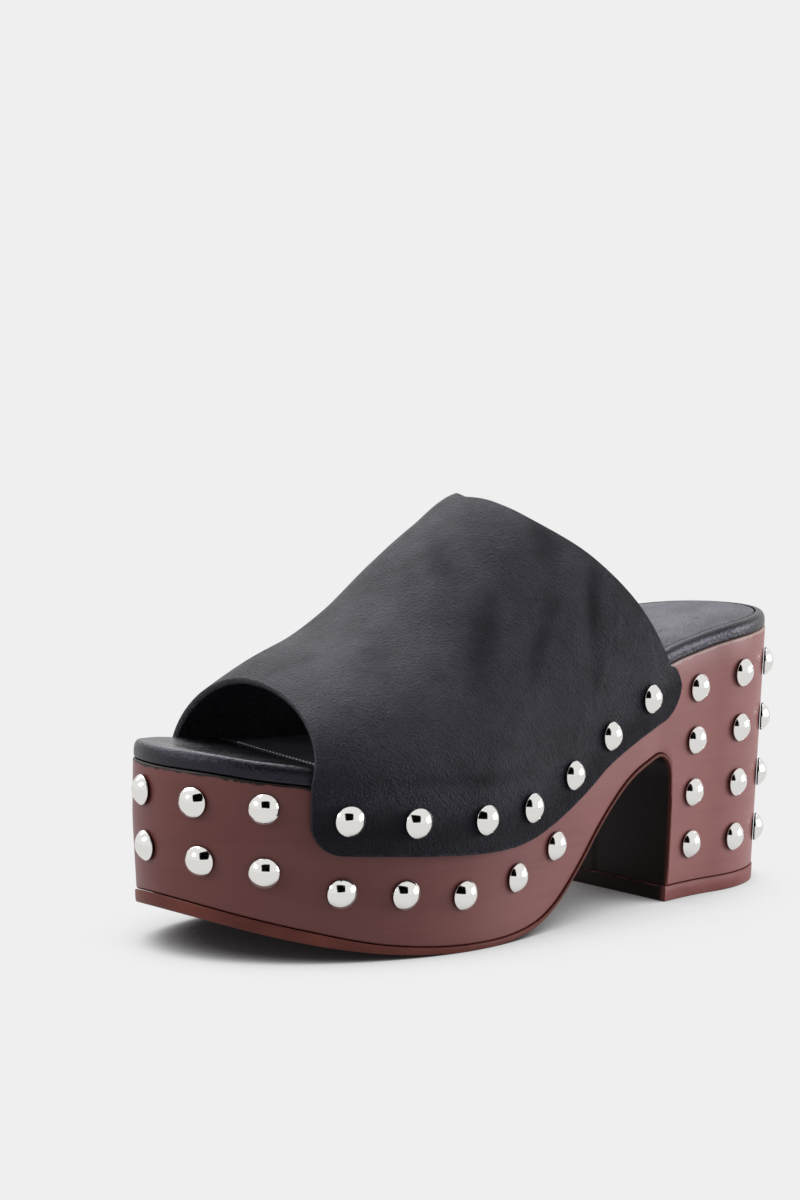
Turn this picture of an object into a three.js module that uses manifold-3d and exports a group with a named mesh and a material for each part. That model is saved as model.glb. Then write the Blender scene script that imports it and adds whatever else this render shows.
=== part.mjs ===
// Platform sandal for the left foot: a wide leather vamp, nailed with domed studs,
// over a wooden platform with a toe spring, an open arch and a block heel.
// Millimetres. X points to the outer side, Y from toe to heel, Z up from the floor.

import * as THREE from 'three';
import { mergeVertices } from 'three/addons/utils/BufferGeometryUtils.js';
import Module from 'manifold-3d';

const wasm = await Module();
wasm.setup();

// Sole seen from above
const soleLength = 241.4;
const ballOuter = 51.3; // from the axis to the outer edge at the ball
const ballInner = 41.9;
const toeTip = -0.9; // where the tip lies across the sole
const toeLengthOuter = 77.8; // from the tip back to the full width
const toeLengthInner = 66;
const toeRoundOuter = 1.94; // exponent of the rounded toe, 2 is an ellipse
const toeRoundInner = 2.2;
const heelWidth = 58.4;
const heelCentre = 0.4;
const heelLength = 37.2; // length of the rounded back
const heelRound = 1.95;

// Sole seen from the side
const forefootHeight = 47.5; // top of the wood behind the ball
const heelHeight = 84; // top of the wood at the back
const toeLip = 8.7; // rise of the wood's top toward the tip
const toeSpring = 14.8;
const archHeight = 47.6;
const liftThickness = 4.8;
const outsoleToe = 3.6; // thickness of the outsole at the tip
const outsoleSheet = 1; // thickness up the arch and down the heel breast
const outsoleFlange = 0.5; // how far the outsole stands proud of the wood
const liftProud = 0.3;

// Walls lean inward toward the floor
const toeTaper = 2.5;
const toeTaperTop = 38; // height from which the walls of the forefoot lean
const heelTaperSide = 3.6;
const heelTaperBack = 1.5;

// Footbed and sock
const footbedToe = 5.8; // height of the footbed at the toe
const footbedHeel = 4.8;
const footbedInset = 0.2;
const rimWidth = 3; // from the footbed's edge in to the sock
const recessDepth = 2.4;
const sockCrown = 1.5; // how far the padded sock rises toward its middle
const sockFront = 42; // where the sock starts, behind the toe tip
const sockSkew = 0.26; // its front edge runs further forward on the outer side

// Vamp
const leather = 2.2;
const glueGap = 0.5; // between the leather and the wood that it wraps
const vampHeight = 131;
const lowerEdgeHeight = 30; // lowest run of the vamp's lower edge, above the floor
const edgeCorner = 8.5; // radius of the lower corners
const tabLength = 6.3; // how far the rear tab reaches back past the rear edge

// Studs
const studDiameter = 9;
const studHeight = 3.1;
const studSkirt = 0.8; // straight rim below the dome
const studPitch = 21.4;
const studAboveEdge = 9.8; // from the vamp's lower edge up to its row
const studBelowEdge = 11.5; // from the vamp's lower edge down to the row on the wood
const heelStudDrop = 11.6;
const heelStudFoot = 17.2; // lowest row of the heel, above the floor

const clearance = 0.3; // between neighbouring pieces
const margin = 10; // how far helper blocks reach past the sandal

// Width between heel (0) and ball (1) along the waist of each side
const outerWaist = [
  { along: 0.5, width: 0.68 },
  { along: 0.64, width: 0.38 },
];
const innerWaist = [
  { along: 0.4, width: 0.78 },
  { along: 0.52, width: 0.4 },
  { along: 0.66, width: 0.1 },
];

// Top of the wood: lip as a share of the toe lip, climb from forefoot (0) to heel (1)
const topRows = [
  { along: 0, lip: 1, climb: 0 },
  { along: 0.065, lip: 0.736, climb: 0 },
  { along: 0.1, lip: 0.609, climb: 0 },
  { along: 0.15, lip: 0.402, climb: 0 },
  { along: 0.2, lip: 0.23, climb: 0 },
  { along: 0.3, lip: 0, climb: 0 },
  { along: 0.38, lip: 0, climb: 0 },
  { along: 0.45, lip: 0, climb: 0.068 },
  { along: 0.52, lip: 0, climb: 0.219 },
  { along: 0.6, lip: 0, climb: 0.452 },
  { along: 0.68, lip: 0, climb: 0.666 },
  { along: 0.725, lip: 0, climb: 0.789 },
  { along: 0.785, lip: 0, climb: 0.863 },
  { along: 0.88, lip: 0, climb: 0.956 },
  { along: 1, lip: 0, climb: 1 },
];

// Underside behind the ball: over the arch and down the heel breast, rise as a share of the arch
const archRows = [
  { along: 0.365, rise: 0 },
  { along: 0.4, rise: 0.008 },
  { along: 0.437, rise: 0.034 },
  { along: 0.468, rise: 0.084 },
  { along: 0.495, rise: 0.166 },
  { along: 0.518, rise: 0.272 },
  { along: 0.545, rise: 0.418 },
  { along: 0.58, rise: 0.63 },
  { along: 0.618, rise: 0.813 },
  { along: 0.655, rise: 0.93 },
  { along: 0.69, rise: 0.983 },
  { along: 0.715, rise: 1 },
  { along: 0.7315, rise: 0.957 },
  { along: 0.7395, rise: 0.875 },
  { along: 0.7425, rise: 0.72 },
  { along: 0.744, rise: 0.5 },
];
const flatFrom = 0.34; // the forefoot lies flat from here to the first row above

// Thickness of the outsole, from the thin sheet (0) to the toe (1)
const outsoleRows = [
  { along: 0, thick: 1 },
  { along: 0.1, thick: 0.96 },
  { along: 0.2, thick: 0.58 },
  { along: 0.3, thick: 0.38 },
  { along: 0.42, thick: 0.24 },
  { along: 0.52, thick: 0 },
];
const springPower = 2.1;

// Vamp in cross sections: ridge across the sole as a share of the outer ball width,
// height of the ridge as a share of the vamp height, fullness as exponents
const vampRows = [
  { along: 0.02, ridge: 0.062, height: 0.451, outer: 2.4, inner: 1.85 },
  { along: 0.083, ridge: 0.042, height: 0.527, outer: 2.36, inner: 1.85 },
  { along: 0.145, ridge: 0.016, height: 0.6, outer: 2.2, inner: 1.9 },
  { along: 0.207, ridge: -0.013, height: 0.658, outer: 2.05, inner: 1.95 },
  { along: 0.269, ridge: -0.039, height: 0.7, outer: 1.95, inner: 2 },
  { along: 0.331, ridge: -0.063, height: 0.765, outer: 1.88, inner: 2.05 },
  { along: 0.394, ridge: -0.087, height: 0.857, outer: 1.83, inner: 2.1 },
  { along: 0.456, ridge: -0.109, height: 0.934, outer: 1.8, inner: 2.13 },
  { along: 0.518, ridge: -0.131, height: 0.994, outer: 1.83, inner: 2.13 },
  { along: 0.6, ridge: -0.13, height: 0.995, outer: 1.93, inner: 2.13 },
  { along: 0.745, ridge: -0.122, height: 0.995, outer: 2, inner: 2.13 },
];

// Front and rear edge of the vamp, from the inner foot (-1) over the ridge (0) to the outer foot (1);
// the rows past the feet only set the slope there
const vampEdges = [
  { across: -1.2, front: 0.144, rear: 0.722 },
  { across: -1, front: 0.147, rear: 0.696 },
  { across: -0.5, front: 0.152, rear: 0.63 },
  { across: -0.25, front: 0.15, rear: 0.565 },
  { across: 0, front: 0.145, rear: 0.4985 },
  { across: 0.25, front: 0.136, rear: 0.541 },
  { across: 0.5, front: 0.125, rear: 0.611 },
  { across: 0.75, front: 0.115, rear: 0.67 },
  { across: 1, front: 0.106, rear: 0.7155 },
  { across: 1.2, front: 0.1, rear: 0.746 },
];

// Lower edge of the vamp on the side of the wood, as a share of its lowest height
const lowerEdgeRows = [
  { along: 0.1, height: 1.107 },
  { along: 0.17, height: 1.08 },
  { along: 0.26, height: 1.033 },
  { along: 0.35, height: 1 },
  { along: 0.387, height: 1.007 },
  { along: 0.425, height: 1.053 },
  { along: 0.464, height: 1.147 },
  { along: 0.501, height: 1.283 },
  { along: 0.543, height: 1.46 },
  { along: 0.58, height: 1.637 },
  { along: 0.621, height: 1.777 },
  { along: 0.663, height: 1.9 },
  { along: 0.704, height: 1.985 },
  { along: 0.75, height: 2.06 },
];

// Studs as set by hand: shares of the way round each side from the toe tip to the heel back,
// and how far each one lies off its row
const outerVampStuds = [
  { around: 0.2115, up: 0.4 },
  { around: 0.2855, up: 0 },
  { around: 0.37, up: 0.2 },
  { around: 0.4425, up: 0.3 },
  { around: 0.5172, up: 0.2 },
  { around: 0.5848, up: -0.4 },
  { around: 0.6592, up: 0.8 },
];
const outerWoodStuds = [
  { around: 0.2078, up: -0.2 },
  { around: 0.2796, up: -0.5 },
  { around: 0.3545, up: -1.3 },
  { around: 0.4356, up: 0.6 },
  { around: 0.503, up: 1.9 },
];
const innerVampStart = 0.27;
const innerVampCount = 6;

// Two rows at the toe, by their drop below the wood's top
const toeStuds = [
  { side: 'outer', high: 0.126, highDrop: 7.7, low: 0.1268, lowDrop: 26.4 },
  { side: 'outer', high: 0.0505, highDrop: 9, low: 0.0585, lowDrop: 25.9 },
  { side: 'inner', high: 0.0235, highDrop: 8, low: 0.017, lowDrop: 24.2 },
  { side: 'inner', high: 0.15, highDrop: 8, low: 0.15, lowDrop: 24.5 },
];
const heelStart = 0.771;
const heelColumnCount = 7;
const heelRowCount = 4;

// Smooth curve through the rows of a table, level at both ends and never overshooting
function through(rows, key, column, at) {
  const last = rows.length - 1;
  if (at <= rows[0][key]) return rows[0][column];
  if (at >= rows[last][key]) return rows[last][column];
  let i = 0;
  while (at > rows[i + 1][key]) i += 1;
  const rise = (k) => (rows[k + 1][column] - rows[k][column]) / (rows[k + 1][key] - rows[k][key]);
  const slope = (k) => {
    if (k === 0 || k === last || rise(k - 1) * rise(k) <= 0) return 0;
    return (2 * rise(k - 1) * rise(k)) / (rise(k - 1) + rise(k));
  };
  const span = rows[i + 1][key] - rows[i][key];
  const t = (at - rows[i][key]) / span;
  const start = rows[i][column] * (1 + 2 * t) * (1 - t) ** 2 + slope(i) * span * t * (1 - t) ** 2;
  const end = rows[i + 1][column] * t * t * (3 - 2 * t) - slope(i + 1) * span * t * t * (1 - t);
  return start + end;
}

const clamp = THREE.MathUtils.clamp;
const heelFront = soleLength - heelLength;

function makeSide(sign, ball, toeLength, round, waist) {
  const rows = [
    { along: toeLength / soleLength, width: 1 },
    ...waist,
    { along: heelFront / soleLength, width: 0 },
  ];
  return { sign, ballX: sign * ball, heelX: heelCentre + (sign * heelWidth) / 2, toeLength, round, rows };
}
const sides = {
  outer: makeSide(1, ballOuter, toeLengthOuter, toeRoundOuter, outerWaist),
  inner: makeSide(-1, ballInner, toeLengthInner, toeRoundInner, innerWaist),
};

// Edge of one side at a place along the sole
function edgeX(side, y) {
  if (y < side.toeLength) {
    const back = clamp(1 - y / side.toeLength, 0, 1);
    return toeTip + (side.ballX - toeTip) * (1 - back ** side.round) ** (1 / side.round);
  }
  if (y > heelFront) {
    const back = clamp((y - heelFront) / heelLength, 0, 1);
    return heelCentre + (side.heelX - heelCentre) * (1 - back ** heelRound) ** (1 / heelRound);
  }
  const width = through(side.rows, 'along', 'width', y / soleLength);
  return side.heelX + (side.ballX - side.heelX) * width;
}

// Points of one side from the toe tip to the heel back
function sidePoints(side, toeSteps, waistSteps, heelSteps) {
  const points = [];
  for (let i = 0; i <= toeSteps; i += 1) {
    const angle = (Math.PI / 2) * (i / toeSteps);
    const x = toeTip + (side.ballX - toeTip) * Math.sin(angle) ** (2 / side.round);
    const y = side.toeLength * (1 - Math.max(0, Math.cos(angle)) ** (2 / side.round));
    points.push(new THREE.Vector2(x, i === toeSteps ? side.toeLength : y));
  }
  for (let i = 1; i < waistSteps; i += 1) {
    const y = side.toeLength + ((heelFront - side.toeLength) * i) / waistSteps;
    points.push(new THREE.Vector2(edgeX(side, y), y));
  }
  for (let i = 0; i <= heelSteps; i += 1) {
    const angle = (Math.PI / 2) * (i / heelSteps);
    const turn = i === heelSteps ? 0 : Math.cos(angle) ** (2 / heelRound);
    const x = heelCentre + (side.heelX - heelCentre) * turn;
    points.push(new THREE.Vector2(x, heelFront + heelLength * Math.sin(angle) ** (2 / heelRound)));
  }
  return points;
}

// Closed outline, up the outer side and back down the inner one, with outward directions
function outline(toeSteps, waistSteps, heelSteps) {
  const outer = sidePoints(sides.outer, toeSteps, waistSteps, heelSteps);
  const inner = sidePoints(sides.inner, toeSteps, waistSteps, heelSteps);
  const loop = [...outer, ...inner.slice(1, -1).reverse()];
  return loop.map((point, i) => {
    const before = loop[(i + loop.length - 1) % loop.length];
    const after = loop[(i + 1) % loop.length];
    const way = after.clone().sub(before).normalize();
    return { point, out: new THREE.Vector2(way.y, -way.x) };
  });
}
const soleOutline = outline(14, 20, 10);

// How far the wall has leaned in at a height, across the sole and along it
function lean(y, z) {
  const heel = THREE.MathUtils.smoothstep(y / soleLength, 0.66, 0.72);
  const heelFall = heel * Math.max(0, 1 - z / heelHeight);
  const toeFall = (1 - heel) * Math.max(0, 1 - z / toeTaperTop);
  return {
    across: heelTaperSide * heelFall + toeTaper * toeFall,
    along: heelTaperBack * heelFall + toeTaper * toeFall,
  };
}

function wallPoint({ point, out }, z, proud) {
  const leaned = lean(point.y, z);
  const x = point.x + out.x * (proud - leaned.across);
  const y = point.y + out.y * (proud - leaned.along);
  return new THREE.Vector3(x, y, z);
}

function woodTop(y) {
  const along = y / soleLength;
  const lip = through(topRows, 'along', 'lip', along);
  const climb = through(topRows, 'along', 'climb', along);
  return forefootHeight + toeLip * lip + (heelHeight - forefootHeight) * climb;
}

// Solid between stacked rings of the sole's outline, closed by strips from side to side
function ringSolid(rings) {
  const count = rings[0].length;
  const faces = [];
  for (let ring = 0; ring + 1 < rings.length; ring += 1) {
    for (let i = 0; i < count; i += 1) {
      const a = ring * count + i;
      const b = ring * count + ((i + 1) % count);
      faces.push(a, b, b + count, a, b + count, a + count);
    }
  }
  const top = (rings.length - 1) * count;
  for (let i = 0; i < count / 2; i += 1) {
    const a = i;
    const b = i + 1;
    const c = count - i - 1;
    const d = (count - i) % count;
    if (b !== c) faces.push(top + a, top + b, top + c, a, c, b);
    if (a !== d) faces.push(top + a, top + c, top + d, a, d, c);
  }
  return meshFrom(rings.flat(), faces);
}

function meshFrom(points, faces) {
  const geometry = new THREE.BufferGeometry().setFromPoints(points);
  geometry.setIndex(faces);
  geometry.computeVertexNormals();
  return geometry;
}

function toSolid(geometry) {
  const bare = geometry.clone();
  bare.deleteAttribute('normal');
  bare.deleteAttribute('uv');
  const merged = mergeVertices(bare, 0.0001);
  const vertProperties = new Float32Array(merged.attributes.position.array);
  const triVerts = new Uint32Array(merged.index.array);
  return new wasm.Manifold(new wasm.Mesh({ numProp: 3, vertProperties, triVerts }));
}

function toGeometry(solid) {
  const mesh = solid.getMesh();
  const geometry = new THREE.BufferGeometry();
  geometry.setAttribute('position', new THREE.BufferAttribute(new Float32Array(mesh.vertProperties), 3));
  geometry.setIndex(new THREE.BufferAttribute(new Uint32Array(mesh.triVerts), 1));
  geometry.computeVertexNormals();
  return geometry;
}

// Everything inside the leaning walls, from below the floor to above the heel
function wallBlock(proud) {
  const heights = [-margin, toeTaperTop, heelHeight, heelHeight + margin];
  return toSolid(ringSolid(heights.map((z) => soleOutline.map((item) => wallPoint(item, z, proud)))));
}

// A side view, given as points along and up, carried right across the sole
function acrossSole(points) {
  const reach = 2 * (ballOuter + ballInner);
  const geometry = new THREE.ExtrudeGeometry(new THREE.Shape(points), { depth: reach, bevelEnabled: false });
  const turn = new THREE.Matrix4().makeBasis(
    new THREE.Vector3(0, 1, 0),
    new THREE.Vector3(0, 0, 1),
    new THREE.Vector3(1, 0, 0),
  );
  geometry.applyMatrix4(turn);
  geometry.translate(-reach / 2, 0, 0);
  return toSolid(geometry);
}

// Line of the underside from in front of the tip to the foot of the heel breast
function underside() {
  const points = [];
  const springEnd = flatFrom * soleLength;
  const steps = 14;
  for (let i = 0; i < steps; i += 1) {
    const y = (springEnd * i) / steps;
    points.push(new THREE.Vector2(y, toeSpring * (1 - y / springEnd) ** springPower));
  }
  points.push(new THREE.Vector2(springEnd, 0));
  const rows = archRows.map((row) => new THREE.Vector2(row.along * soleLength, row.rise * archHeight));
  points.push(...new THREE.SplineCurve(rows).getPoints(3 * (rows.length - 1)));
  points.push(new THREE.Vector2(rows.at(-1).x, liftThickness + clearance));
  const first = points[1].clone().sub(points[0]);
  points.unshift(points[0].clone().addScaledVector(first, -1));
  return points;
}

// The same line moved into the sole by a depth that may change along it
function lifted(points, depth) {
  return points.map((point, i) => {
    const before = points[Math.max(0, i - 1)];
    const after = points[Math.min(points.length - 1, i + 1)];
    const way = after.clone().sub(before).normalize();
    const out = depth(point.x / soleLength);
    return new THREE.Vector2(point.x - way.y * out, point.y + way.x * out);
  });
}

const outsoleDepth = (along) => {
  const share = through(outsoleRows, 'along', 'thick', along);
  return outsoleSheet + (outsoleToe - outsoleSheet) * share;
};

function topLine() {
  const points = [];
  const steps = 34;
  for (let i = 0; i <= steps; i += 1) {
    const y = soleLength + margin - ((soleLength + 2 * margin) * i) / steps;
    points.push(new THREE.Vector2(y, woodTop(y)));
  }
  return points;
}

function makePlatform() {
  const under = lifted(underside(), (along) => outsoleDepth(along) + clearance);
  const foot = liftThickness + clearance;
  under[under.length - 1].y = foot;
  const back = new THREE.Vector2(soleLength + margin, foot);
  const view = acrossSole([...under, back, ...topLine()]);
  return toGeometry(wallBlock(0).intersect(view));
}

function makeOutsole() {
  const line = underside();
  const inside = lifted(line, outsoleDepth);
  inside[inside.length - 1].y = line.at(-1).y;
  const view = acrossSole([...line, ...inside.reverse()]);
  return toGeometry(wallBlock(outsoleFlange).intersect(view));
}

function makeHeelLift() {
  const front = archRows.at(-1).along * soleLength;
  const back = soleLength + margin;
  const corners = [
    [front, 0],
    [back, 0],
    [back, liftThickness],
    [front, liftThickness],
  ];
  const view = acrossSole(corners.map(([y, z]) => new THREE.Vector2(y, z)));
  return toGeometry(wallBlock(liftProud).intersect(view));
}

// Height of the footbed's edge above the wood
function footbedHeight(y) {
  const toe = 1 - THREE.MathUtils.smoothstep(y / soleLength, 0.25, 0.6);
  return footbedHeel + (footbedToe - footbedHeel) * toe;
}

// Ring some way in from the wood's top edge and some way above it; share counts in footbed heights
function topRing(inset, share, extra) {
  return soleOutline.map((item) => {
    const ring = wallPoint(item, woodTop(item.point.y), -inset);
    ring.z = woodTop(ring.y) + clearance + (footbedHeight(ring.y) - clearance) * share + extra;
    return ring;
  });
}

// Everything behind the sock's front edge, which runs askew across the sole
function behindSockFront(gap) {
  const reach = ballOuter + margin;
  const front = (x) => sockFront - sockSkew * x + gap;
  const back = soleLength + margin;
  const corners = [
    [-reach, front(-reach)],
    [reach, front(reach)],
    [reach, back],
    [-reach, back],
  ];
  const shape = new THREE.Shape(corners.map(([x, y]) => new THREE.Vector2(x, y)));
  return toSolid(new THREE.ExtrudeGeometry(shape, { depth: vampHeight, bevelEnabled: false }));
}

// Padded footbed with rounded edges, and a recess for the sock
function makeFootbed() {
  const edge = footbedInset + rimWidth;
  const body = ringSolid([
    topRing(footbedInset + 0.4, 0, 0),
    topRing(footbedInset, 0.12, 0),
    topRing(footbedInset, 0.45, 0),
    topRing(footbedInset + 0.17 * rimWidth, 0.75, 0),
    topRing(footbedInset + 0.5 * rimWidth, 0.94, 0),
    topRing(edge, 1, 0),
  ]);
  const recess = ringSolid([topRing(edge, 1, -recessDepth), topRing(edge, 1, margin)]);
  return toGeometry(toSolid(body).subtract(toSolid(recess).intersect(behindSockFront(0))));
}

// Sock, level with the rim at its edge and crowned toward the middle
function makeSock() {
  const edge = footbedInset + rimWidth + clearance;
  const sock = ringSolid([
    topRing(edge, 1, clearance - recessDepth),
    topRing(edge, 1, -0.5),
    topRing(edge + 0.6, 1, 0),
    topRing(edge + 4, 1, 0.5 * sockCrown),
    topRing(edge + 11, 1, sockCrown),
  ]);
  return toGeometry(toSolid(sock).intersect(behindSockFront(clearance)));
}

// Outer face of the vamp: down from the wood's top edge it hugs the wall, above it is an arch
const vampProud = leather + glueGap;

function wallX(side, y, z, proud) {
  const slope = edgeX(side, y + 0.5) - edgeX(side, y - 0.5);
  return edgeX(side, y) + side.sign * (proud * Math.hypot(1, slope) - lean(y, z).across);
}

const edgeAt = (y) => lowerEdgeHeight * through(lowerEdgeRows, 'along', 'height', y / soleLength);

function lowerEdge(y, front, rear) {
  const corner = (distance) => {
    const left = clamp(edgeCorner - distance, 0, edgeCorner);
    return edgeCorner - Math.sqrt(edgeCorner ** 2 - left ** 2);
  };
  return edgeAt(y) + corner(y - front) + corner(rear - y);
}

function vampPoint(across, down, share) {
  const side = across >= 0 ? sides.outer : sides.inner;
  const front = soleLength * through(vampEdges, 'across', 'front', across);
  const rear = soleLength * through(vampEdges, 'across', 'rear', across);
  const tab = tabLength * Math.sqrt(down);
  const y = front + (rear + tab - front) * share;
  const spring = woodTop(y) + clearance;
  if (down > 0) {
    const z = spring + (lowerEdge(y, front, rear + tabLength) - spring) * down;
    return new THREE.Vector3(wallX(side, y, z, vampProud), y, z);
  }
  const along = y / soleLength;
  const angle = (Math.PI / 2) * (1 - Math.abs(across));
  const full = 2 / through(vampRows, 'along', side.sign > 0 ? 'outer' : 'inner', along);
  const ridge = ballOuter * through(vampRows, 'along', 'ridge', along);
  const top = vampHeight * through(vampRows, 'along', 'height', along);
  const x = ridge + (wallX(side, y, spring, vampProud) - ridge) * Math.max(0, Math.cos(angle)) ** full;
  return new THREE.Vector3(x, y, spring + (top - spring) * Math.sin(angle) ** full);
}

// Sheet of leather: the outer face, the inner face one wall further in, and the cut edges
function thickSheet(grid, wall) {
  const rows = grid.length;
  const columns = grid[0].length;
  const points = grid.flat();
  const inside = [];
  grid.forEach((row, i) => {
    row.forEach((point, j) => {
      const along = grid[Math.min(rows - 1, i + 1)][j].clone().sub(grid[Math.max(0, i - 1)][j]);
      const over = row[Math.min(columns - 1, j + 1)].clone().sub(row[Math.max(0, j - 1)]);
      const out = along.cross(over).normalize();
      inside.push(point.clone().addScaledVector(out, -wall));
    });
  });
  const at = (i, j) => i * columns + j;
  const count = points.length;
  const faces = [];
  for (let i = 0; i + 1 < rows; i += 1) {
    for (let j = 0; j + 1 < columns; j += 1) {
      const [a, b, c, d] = [at(i, j), at(i + 1, j), at(i + 1, j + 1), at(i, j + 1)];
      faces.push(a, b, c, a, c, d);
      faces.push(a + count, c + count, b + count, a + count, d + count, c + count);
    }
  }
  const rim = [];
  for (let i = 0; i + 1 < rows; i += 1) rim.push(at(i, 0));
  for (let j = 0; j + 1 < columns; j += 1) rim.push(at(rows - 1, j));
  for (let i = rows - 1; i > 0; i -= 1) rim.push(at(i, columns - 1));
  for (let j = columns - 1; j > 0; j -= 1) rim.push(at(0, j));
  rim.forEach((p, i) => {
    const q = rim[(i + 1) % rim.length];
    faces.push(q, p, p + count, q, p + count, q + count);
  });
  return meshFrom([...points, ...inside], faces);
}

function makeUpper() {
  const wallSteps = 3;
  const archSteps = 26;
  const alongSteps = 24;
  const places = [];
  for (let i = wallSteps; i > 0; i -= 1) places.push([1, i / wallSteps]);
  for (let i = 0; i <= archSteps; i += 1) places.push([1 - (2 * i) / archSteps, 0]);
  for (let i = 1; i <= wallSteps; i += 1) places.push([-1, i / wallSteps]);
  const grid = [];
  for (let i = 0; i <= alongSteps; i += 1) {
    const share = 0.5 - 0.5 * Math.cos((Math.PI * i) / alongSteps);
    grid.push(places.map(([across, down]) => vampPoint(across, down, share)));
  }
  return thickSheet(grid, leather);
}

// Length of each side, measured round from the toe tip to the heel back
function measured(side) {
  const points = sidePoints(side, 60, 40, 60);
  const lengths = [0];
  for (let i = 1; i < points.length; i += 1) lengths.push(lengths[i - 1] + points[i].distanceTo(points[i - 1]));
  return { side, points, lengths };
}
const measuredSides = { outer: measured(sides.outer), inner: measured(sides.inner) };

// Place on the outline a distance round from the toe tip
function roundFrom({ side, points, lengths }, distance) {
  let i = 1;
  while (i < lengths.length - 1 && lengths[i] < distance) i += 1;
  const t = (distance - lengths[i - 1]) / (lengths[i] - lengths[i - 1]);
  const way = points[i].clone().sub(points[i - 1]).normalize();
  const out = new THREE.Vector2(way.y, -way.x).multiplyScalar(side.sign);
  return { point: points[i - 1].clone().lerp(points[i], t), out };
}

function studShape() {
  const radius = studDiameter / 2;
  const dome = studHeight - studSkirt;
  const profile = [new THREE.Vector2(0, 0), new THREE.Vector2(radius, 0), new THREE.Vector2(radius, studSkirt)];
  const shoulder = THREE.MathUtils.degToRad(40);
  profile.push(new THREE.Vector2(radius * Math.cos(shoulder), studSkirt + dome * Math.sin(shoulder)));
  profile.push(new THREE.Vector2(0, studHeight));
  return new THREE.LatheGeometry(profile, 10);
}

// A stud seated on the wall, or on the leather where proud says so
function makeStud(name, place, z, proud) {
  const seat = wallPoint(place, z, proud + clearance);
  const up = wallPoint(place, z + 1, proud).sub(wallPoint(place, z - 1, proud)).normalize();
  const way = new THREE.Vector3(-place.out.y, place.out.x, 0);
  const out = new THREE.Vector3().crossVectors(way, up).normalize();
  const stud = piece(name, studShape(), 0xc9c9cb, 0.16, 1);
  stud.position.copy(seat);
  stud.quaternion.setFromUnitVectors(new THREE.Vector3(0, 1, 0), out);
  return stud;
}

function makeStuds() {
  const studs = [];
  const lengthOf = (measure) => measure.lengths.at(-1);
  const { outer, inner } = measuredSides;
  outerVampStuds.forEach(({ around, up }, i) => {
    const place = roundFrom(outer, around * lengthOf(outer));
    const z = edgeAt(place.point.y) + studAboveEdge + up;
    studs.push(makeStud(`stud_vamp_outer_${i + 1}`, place, z, vampProud));
  });
  for (let i = 0; i < innerVampCount; i += 1) {
    const place = roundFrom(inner, innerVampStart * lengthOf(inner) + i * studPitch);
    studs.push(makeStud(`stud_vamp_inner_${i + 1}`, place, edgeAt(place.point.y) + studAboveEdge, vampProud));
  }
  outerWoodStuds.forEach(({ around, up }, i) => {
    const place = roundFrom(outer, around * lengthOf(outer));
    const z = edgeAt(place.point.y) - studBelowEdge + up;
    studs.push(makeStud(`stud_wood_outer_${i + 1}`, place, z, 0));
  });
  toeStuds.forEach((row, i) => {
    const measure = measuredSides[row.side];
    const high = roundFrom(measure, row.high * lengthOf(measure));
    const low = roundFrom(measure, row.low * lengthOf(measure));
    studs.push(makeStud(`stud_toe_high_${i + 1}`, high, woodTop(high.point.y) - row.highDrop, 0));
    studs.push(makeStud(`stud_toe_low_${i + 1}`, low, woodTop(low.point.y) - row.lowDrop, 0));
  });
  return studs;
}

function makeHeelStuds() {
  const studs = [];
  const half = (heelColumnCount - 1) / 2;
  const { outer, inner } = measuredSides;
  const step = ((1 - heelStart) * outer.lengths.at(-1)) / half;
  for (let column = -half; column <= half; column += 1) {
    const measure = column <= 0 ? outer : inner;
    const end = measure.lengths.at(-1);
    const place = roundFrom(measure, end - Math.abs(column) * step);
    const high = woodTop(place.point.y) - heelStudDrop;
    for (let row = 0; row < heelRowCount; row += 1) {
      const z = high + ((heelStudFoot - high) * row) / (heelRowCount - 1);
      studs.push(makeStud(`stud_heel_${column + half + 1}_${row + 1}`, place, z, 0));
    }
  }
  return studs;
}

function piece(name, geometry, color, roughness, metalness) {
  const mesh = new THREE.Mesh(geometry, new THREE.MeshStandardMaterial({ color, roughness, metalness }));
  mesh.name = name;
  return mesh;
}

const sandal = new THREE.Group();
sandal.add(piece('platform', makePlatform(), 0x6b3a28, 0.4, 0));
sandal.add(piece('outsole', makeOutsole(), 0x7a4430, 0.5, 0));
sandal.add(piece('heel_lift', makeHeelLift(), 0x5a3226, 0.6, 0));
sandal.add(piece('footbed', makeFootbed(), 0x161618, 0.45, 0));
sandal.add(piece('insole', makeSock(), 0x141416, 0.5, 0));
sandal.add(piece('upper', makeUpper(), 0x19191d, 0.45, 0));
makeStuds().forEach((stud) => sandal.add(stud));
makeHeelStuds().forEach((stud) => sandal.add(stud));

// The origin is on the floor below the middle of the sandal
const bounds = new THREE.Box3().setFromObject(sandal, true);
const middle = bounds.getCenter(new THREE.Vector3());
sandal.position.set(-middle.x, -middle.y, -bounds.min.z);

const object = new THREE.Group();
object.add(sandal);
object.updateMatrixWorld(true);

export default object;
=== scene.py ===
# Looks of a left platform sandal: black leather vamp and footbed, stained wooden platform, polished studs.
# Shapes are worked out in millimetres, x from the sole's axis to the outer side, y from the toe tip to the
# heel and z up from the floor, by the same formulas as the CAD part, and moved to metres in its frame.

import math

import bmesh
import bpy
import numpy as np
from mathutils import Matrix, Vector


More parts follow.
